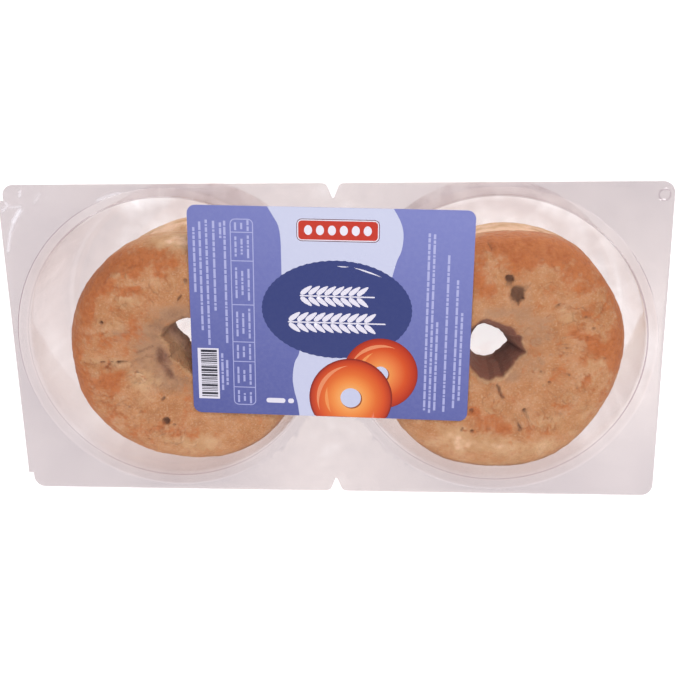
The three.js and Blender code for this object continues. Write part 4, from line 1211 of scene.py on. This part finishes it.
def make_tray(material):
    """The formed tray as one closed sheet: flat flange, then each well's two skins."""
    wells = [ellipse(side * WELL_X, 0, STEP_RADIUS, STEP_RADIUS, WELL_AROUND) for side in (-1, 1)]
    loose = grid_points(*PACK_CORNERS, SHEET_GRID)
    for radius in RING_MARK_GRID:
        loose += ellipse(*RING_MARK["at"], radius, radius, 24)
    places, triangles, homes = triangulate([pack_outline(), *wells], loose)
    triangles = [t for t, home in zip(triangles, homes) if len(home) == 1]
    bm = bmesh.new()
    haze, line, _, _ = (bm.verts.layers.float.new(key) for key in TRAY_LAYERS)
    plate(bm, places, triangles, flange_height, TRAY_SHEET)
    for vert in bm.verts:
        vert[haze] = flange_haze(vert.co.x, vert.co.y)
        # Painted shade along the pressed ring.
        vert[line] = RING_MARK["dark"] * ring_mark(vert.co.x, vert.co.y)
    rims = [face for face in bm.faces
            if len(face.verts) == 4 and all(from_step(v.co.x, v.co.y) < 0.01 for v in face.verts)]
    bmesh.ops.delete(bm, geom=rims, context="FACES_ONLY")
    for side in (-1, 1):
        for skin in well_profile():
            lathe(bm, skin, side)
    bmesh.ops.remove_doubles(bm, verts=bm.verts, dist=0.01)
    tray = mesh_object("formed_clear_tray", scaled(bm), [material])
    finish_piece(tray, "tray")


def make_film(material):
    """Sealing film: one thin closed sheet over the whole flange, finer where it is creased."""
    loose = grid_points(*PACK_CORNERS, SHEET_GRID)
    for low, high, step in FINE_PATCHES:
        loose += grid_points(low, high, step)
    places, triangles, _ = triangulate([pack_outline()], loose)
    bm = bmesh.new()
    crease_and_glare = bm.verts.layers.float.new("crease_and_glare")
    top = plate(bm, places, triangles, lambda x, y: FILM_HIGH.z + film_wave(x, y), FILM_SHEET)
    for number, vert in top.items():
        vert[crease_and_glare] = crease_at(*places[number])
    film = mesh_object("sealing_film", scaled(bm), [material])
    finish_piece(film, "lid_film")


# ---- Label ----

LABEL_LENGTH = 120.8
LABEL_WIDTH = 93.4
LABEL_BOX = (-LABEL_LENGTH / 2, -LABEL_WIDTH / 2, LABEL_LENGTH / 2, LABEL_WIDTH / 2)
LABEL_CORNER = 3.6
LABEL_GRID = 4
LABEL_TURN = math.radians(-1.45)
LABEL_MIDDLE = (LABEL_LOW + LABEL_HIGH) / 2 + Vector((-0.6, 0.3, 0))
PRINT_EDGE = LABEL_WIDTH / 2 - 0.02

# Inks: colour towards +Y, colour towards -Y, press mottle. The change from one colour to the
# other is painted sheen.
INKS = {
    "ground": ("#7A7FBA", "#4A5090", 0.02),
    "pale": ("#C3C6DD", "#B9BBD6", 0.03),
    "navy": ("#384178", "#2F386E", 0.005),
    "white": ("#DFDBE7", "#D3CFDD", 0.02),
    "fine": ("#ABADD6", "#9B9DCB", 0.02),
    "red": ("#BC382A", "#B63528", 0.008),
    "maroon": ("#5B2230", "#5B2230", 0.008),
    "glint": ("#D8835A", "#D8835A", 0.02),
    "dark": ("#2C2C3A", "#262632", 0.008),
    "umber": ("#8E4A22", "#8E4A22", 0.01),
    "amber": ("#DE8A4E", "#DE8A4E", 0.01),
}

# Printed rings, the back one first: middle, radius, hole, from where to where the glint runs, and
# the inks from the hole to the rim.
RINGS = {
    "back_ring": {
        "at": (22.2, -26.0), "radius": 16.2, "hole": 3.4, "glint": (62, 160),
        "inks": [(0.0, "#E08F4C"), (0.3, "#D8713A"), (0.6, "#C84C20"), (0.85, "#B4361A"), (0.97, "#A02C18"),
                 (1.0, "#7A1E16")],
    },
    "front_ring": {
        "at": (9.4, -37.6), "radius": 18.2, "hole": 4.5, "glint": (95, 205),
        "inks": [(0.0, "#E39B58"), (0.22, "#E08640"), (0.48, "#D4662B"), (0.75, "#C84A1E"), (0.92, "#AE3519"),
                 (0.97, "#8A2416"), (1.0, "#641A16")],
    },
}

# Edges of the pale band, above and below the oval.
BAND_UPPER_LEFT = [(-26.4, PRINT_EDGE), (-23.9, 42.5), (-21.8, 38.6), (-20.9, 33), (-20.7, 26), (-20.5, 12)]
BAND_UPPER_RIGHT = [(25.1, 12), (28, 23.8), (29.9, 28.5), (30.7, 33.6), (30.4, 38.2), (28.9, 42.4),
                    (26.4, PRINT_EDGE)]
BAND_LOWER_LEFT = [(-12.6, -12), (-13.3, -17.9), (-15.2, -22), (-16.1, -29), (-15.4, -35), (-14, -40.7),
                   (-13.2, -PRINT_EDGE)]
BAND_LOWER_RIGHT = [(20, -PRINT_EDGE), (20, -12)]

# The oval with its uneven edge: middle, half sizes, waves of the edge. Its glints lie on a
# smaller oval: thickness, from where to where, points.
OVAL = {"at": (3, 2.4), "half": (32.2, 21.7), "waves": 61, "wave": 0.12, "glint_half": (29.6, 19.4)}
OVAL_GLINTS = [(0.45, 80, 90, 8), (0.7, 50, 76, 18)]
# The small plate: its box, how far each ink reaches past it, and its row of oval dots.
PLATE = (-13.8, 32.5, 20.5, 41.5)
PLATE_CORNER = 2
PLATE_INKS = {"maroon": 0.3, "white": 0, "red": -0.45}
PLATE_DOTS = {"count": 6, "first": 4.6, "step": 5, "half": (1.7, 2.1)}
# Ears of wheat: middle, length, height, pairs of grains.
EARS = [(3.2, 8.4, 32, 9.4, 8), (3, -3.4, 42, 9.4, 10)]
EAR_STEM = 0.6
GRAIN_LEAN = math.radians(38)
SHORT_BARS = [(-27.8, -41, -19.4, -38.8), (-18.2, -41, -15.6, -38.8)]

# The ruled table: its box, the heights of its rules, and its rows of print as the distance from
# the right edge and the share of each cell that they fill.
TABLE = (-42.3, -42.5, -32.4, 41.2)
TABLE_RULES = [35.4, 23, 3.6, -13.2, -22.2, -34.1]
TABLE_LINE = 0.4
TABLE_PRINT = [(2.3, 0.8), (5, 0.55), (7.6, 0.7)]

# The striped block: its box, its narrowest stripe and gap, and how much wider they get.
STRIPED_BLOCK = (-57.8, -40, -48.5, -16.5)
STRIPE = 0.3
STRIPE_GROWTH = 0.9
STRIPE_GAP = 0.3
STRIPE_GAP_GROWTH = 0.5
# Bars of fine print: the shortest, how much longer they get, and the gap between two.
BAR = 0.8
BAR_GROWTH = 3.4
BAR_GAP = 0.5
# Columns of fine print: place along X, low end, high end.
PRINT_COLUMNS = [
    (-57.8, 8.8, 38.5), (-55.2, -8.3, 39.6), (-52.4, -15, 40.5), (-49.3, 0.7, 40.6), (-46.4, 32.7, 40.2),
    (-44.6, -13.9, 40.2), (-47, -35.8, -18.7), (-44.9, -33.3, -21.4), (41.6, -42.3, 37.3),
    (43.8, -43.4, 37.6), (46, -42.2, -1.8), (50, -42.7, 28), (54.1, -40.8, 16.9), (56.4, -37.2, 4),
]


def to_pack(point):
    """A point of the label's face in the pack's frame, millimetres."""
    c, s = math.cos(LABEL_TURN), math.sin(LABEL_TURN)
    return (LABEL_MIDDLE.x + c * point[0] - s * point[1], LABEL_MIDDLE.y + s * point[0] + c * point[1])


def through(points, count=4):
    """Smooth curve through a few points (Catmull-Rom)."""
    padded = [points[0], *points, points[-1]]
    made = [points[0]]
    for ends in zip(padded, padded[1:], padded[2:], padded[3:]):
        for i in range(1, count + 1):
            t = i / count
            t2, t3 = t * t / 2, t ** 3 / 2
            weights = (2 * t2 - t3 - t / 2, 1 - 5 * t2 + 3 * t3, 4 * t2 - 3 * t3 + t / 2, t3 - t2)
            made.append(tuple(sum(w * v for w, v in zip(weights, axis)) for axis in zip(*ends)))
    return made


def lines_of_print(x, low, high, width, stream):
    """A column of fine print: bars of uneven length with small gaps, running along Y."""
    bars = []
    y = low
    while y < high - 1:
        length = min(BAR + BAR_GROWTH * next(stream), high - y)
        bars.append(("fine", box_outline(x - width / 2, y, x + width / 2, y + length)))
        y += length + BAR_GAP
    return bars


def wheat_ear(cx, cy, length, height, pairs):
    """Lying ear of wheat: a stem and pointed grains in slanting pairs."""
    stem = EAR_STEM / 2
    made = [("white", rounded(cx - length / 2, cy - stem, cx + length / 2, cy + stem, 0.29))]
    step = 0.86 * length / pairs
    half, thick = 0.33 * height, 0.3 * step
    grain = [(half * math.cos(t), thick * math.sin(t) * (1 - 0.35 * math.cos(t)))
             for t in np.linspace(0, 2 * math.pi, 13)[:-1]]
    for i in range(pairs):
        x = cx - length / 2 + step * (i + 0.8)
        for side in (-1, 1):
            c, s = math.cos(GRAIN_LEAN), side * math.sin(GRAIN_LEAN)
            y = cy + side * 0.27 * height
            made.append(("white", [(x + px * c - py * s, y + px * s + py * c) for px, py in grain]))
    return made


def uneven_oval():
    """The dark oval's outline, its edge waved as a stamp's is."""
    points = []
    for t in np.linspace(0, 2 * math.pi, 301)[:-1]:
        half_x, half_y = (half + OVAL["wave"] * math.sin(OVAL["waves"] * t) for half in OVAL["half"])
        points.append((OVAL["at"][0] + half_x * math.cos(t), OVAL["at"][1] + half_y * math.sin(t)))
    return points


def ruled_table(stream):
    """Table of fine print: a light outline with rules, and broken rows of print in its cells."""
    left, low, right, high = TABLE
    line = TABLE_LINE
    made = [("fine", rounded(left, low, right, high, 2.2))]
    made.append(("ground", rounded(left + line, low + line, right - line, high - line, 1.8)))
    for y in TABLE_RULES:
        made.append(("fine", box_outline(left + line / 2, y - line / 2, right - line / 2, y + line / 2)))
    for top, foot in zip([high, *TABLE_RULES], [*TABLE_RULES, low]):
        for inwards, share in TABLE_PRINT:
            middle, reach = (top + foot) / 2, (top - foot) / 2 * share
            made += lines_of_print(right - inwards, middle - reach, middle + reach, 0.9, stream)
    return made


def striped_block(stream):
    """A light block with dark stripes of uneven width."""
    left, low, right, high = STRIPED_BLOCK
    made = [("white", box_outline(*STRIPED_BLOCK))]
    y = low + 1
    while y < high - 1.1:
        width = STRIPE + STRIPE_GROWTH * next(stream) ** 2
        made.append(("dark", box_outline(left + 1.4, y, right - 0.8, y + width)))
        y += width + STRIPE_GAP + STRIPE_GAP_GROWTH * next(stream) ** 2
    return made


def printed_ring(name, ring):
    """A printed ring, cut off at the label's edge, with two glints and a hole."""
    x, y, radius, hole = *ring["at"], ring["radius"], ring["hole"]
    low, high = ring["glint"]
    return [
        (name, [(px, max(py, -PRINT_EDGE)) for px, py in ellipse(x, y, radius, radius, 64)]),
        ("glint", crescent(x, y, 0.82 * radius, 0.1 * radius, low, high)),
        ("amber", crescent(x, y, 0.62 * radius, 0.08 * radius, high - 50, high + 15)),
        ("umber", ellipse(x + 0.4, y - 0.4, hole + 0.15, hole + 0.15, 24)),
        ("pale", ellipse(x, y, hole, hole, 24)),
    ]


def label_fields():
    """The print from the ground up: (ink, outline) in the label's own millimetres."""
    stream = seeded(5)
    fields = [
        ("ground", rounded(*LABEL_BOX, LABEL_CORNER, 6)),
        ("pale", through(BAND_UPPER_LEFT) + through(BAND_UPPER_RIGHT)),
        ("pale", through(BAND_LOWER_LEFT) + BAND_LOWER_RIGHT),
        ("navy", uneven_oval()),
    ]
    half_x, half_y = OVAL["glint_half"]
    for thick, start, end, count in OVAL_GLINTS:
        fields.append(("white", crescent(*OVAL["at"], half_x, thick, start, end, count, half_y)))
    left, low, right, high = PLATE
    for ink, grow in PLATE_INKS.items():
        box = (left - grow, low - grow, right + grow, high + grow)
        fields.append((ink, rounded(*box, PLATE_CORNER + grow, 6)))
    for i in range(PLATE_DOTS["count"]):
        x = left + PLATE_DOTS["first"] + PLATE_DOTS["step"] * i
        fields.append(("white", ellipse(x, (low + high) / 2, *PLATE_DOTS["half"], 16)))
    for ear in EARS:
        fields += wheat_ear(*ear)
    fields += [("white", rounded(*bar, 1)) for bar in SHORT_BARS]
    fields += ruled_table(stream) + striped_block(stream)
    for x, low, high in PRINT_COLUMNS:
        fields += lines_of_print(x, low, high, 1, stream)
    for name, ring in RINGS.items():
        fields += printed_ring(name, ring)
    return fields


def make_label():
    """The label as one closed sheet, each field of print a patch of its own ink."""
    fields = label_fields()
    inks = {name: printed_paper("label_ink_" + name, *ink) for name, ink in INKS.items()}
    inks |= {name: ring_ink("label_ink_" + name, ring) for name, ring in RINGS.items()}
    number = {name: i for i, name in enumerate(inks)}
    loose = grid_points(LABEL_BOX[:2], LABEL_BOX[2:], LABEL_GRID)
    places, triangles, homes = triangulate([outline for _, outline in fields], loose)
    topmost = [number[fields[max(home)][0]] for home in homes]
    places = [to_pack(p) for p in places]
    bm = bmesh.new()
    plate(bm, places, triangles, label_height, LABEL_SHEET, topmost)
    label = mesh_object("printed_label", scaled(bm), list(inks.values()))
    finish_piece(label, "label")


def label_height(x, y):
    """Top of the label: it lies on the film and smooths its ripples out."""
    return LABEL_HIGH.z + 0.6 * film_wave(x, y)


# ---- Stage, light and camera, metres; the lens is in millimetres ----

CAMERA_PLACE = Vector((0.0385, 0.1480, 0.5062))
CAMERA_AIM = Vector((0.00337, 0.00243, 0.0617))
CAMERA_ROLL = math.radians(1.12)
CAMERA_LENS = 57.71
FLOOR_REACH = 12.0
FLOOR_GAP = 0.1 * MM
# Softboxes: place, size and power. They point at the middle of the pack.
SOFTBOXES = {"key": ((-0.35, -1.2, 1.1), 0.7, 17.8), "fill": ((0.5, 0.9, 1.15), 0.9, 15.5)}
PACK_MIDDLE = (0, 0, 0.04)
# How bright the walls and the ceiling are, and between which heights one fades into the other.
WALL_GLOW = 0.52
CEILING_GLOW = 0.19
WALL_TOP = 0.6
CEILING_EDGE = 0.88


def make_camera():
    """Camera that looks down on the label from the +Y side."""
    data = bpy.data.cameras.new("camera")
    data.lens = CAMERA_LENS
    data.sensor_width = 36
    data.clip_start = 0.01
    camera = bpy.data.objects.new("camera", data)
    bpy.context.scene.collection.objects.link(camera)
    ahead = (CAMERA_AIM - CAMERA_PLACE).normalized()
    right = ahead.cross(Vector((0, 1, 0))).normalized()
    up = right.cross(ahead)
    turned = Matrix.Rotation(CAMERA_ROLL, 3, ahead)
    axes = Matrix((turned @ right, turned @ up, -ahead)).transposed()
    camera.matrix_world = Matrix.Translation(CAMERA_PLACE) @ axes.to_4x4()
    bpy.context.scene.camera = camera


def add_light(name, place, size, power):
    """Round softbox that points at the pack."""
    data = bpy.data.lights.new(name, "AREA")
    data.shape = "DISK"
    data.size = size
    data.energy = power
    light = bpy.data.objects.new(name, data)
    light.location = place
    light.rotation_euler = (Vector(PACK_MIDDLE) - Vector(place)).to_track_quat("-Z", "Y").to_euler()
    bpy.context.scene.collection.objects.link(light)


def make_stage():
    """White floor just under the pack, pale walls, a dim ceiling and two softboxes."""
    bm = bmesh.new()
    corners = [(-1, -1), (1, -1), (1, 1), (-1, 1)]
    bm.faces.new([bm.verts.new((x * FLOOR_REACH, y * FLOOR_REACH, -FLOOR_GAP)) for x, y in corners])
    mesh_object("floor", bm, [pale_floor()])
    world = bpy.data.worlds.new("soft_studio")
    bpy.context.scene.world = world
    world.use_nodes = True
    tree = world.node_tree
    tree.nodes.clear()
    where = node(tree, "TexCoord").outputs["Generated"]
    upward = node(tree, "SeparateXYZ", {"Vector": where}).outputs["Z"]
    strength = node(tree, "MapRange", {"Value": upward, "From Min": WALL_TOP, "From Max": CEILING_EDGE,
                                       "To Min": WALL_GLOW, "To Max": CEILING_GLOW})
    sky = node(tree, "Background", {"Color": srgb("#F6F4F6"), "Strength": strength})
    node(tree, "OutputWorld", {"Surface": sky})
    for name, softbox in SOFTBOXES.items():
        add_light(name, *softbox)


bpy.context.scene.view_settings.view_transform = "Standard"
bpy.context.scene.cycles.transparent_max_bounces = 32

make_camera()
make_stage()
crust = baked_crust()
for bagel_name, bagel_data in BAGELS.items():
    make_bagel(bagel_name, bagel_data, crust)
make_tray(formed_polyester())
make_film(sealing_polyester())
make_label()
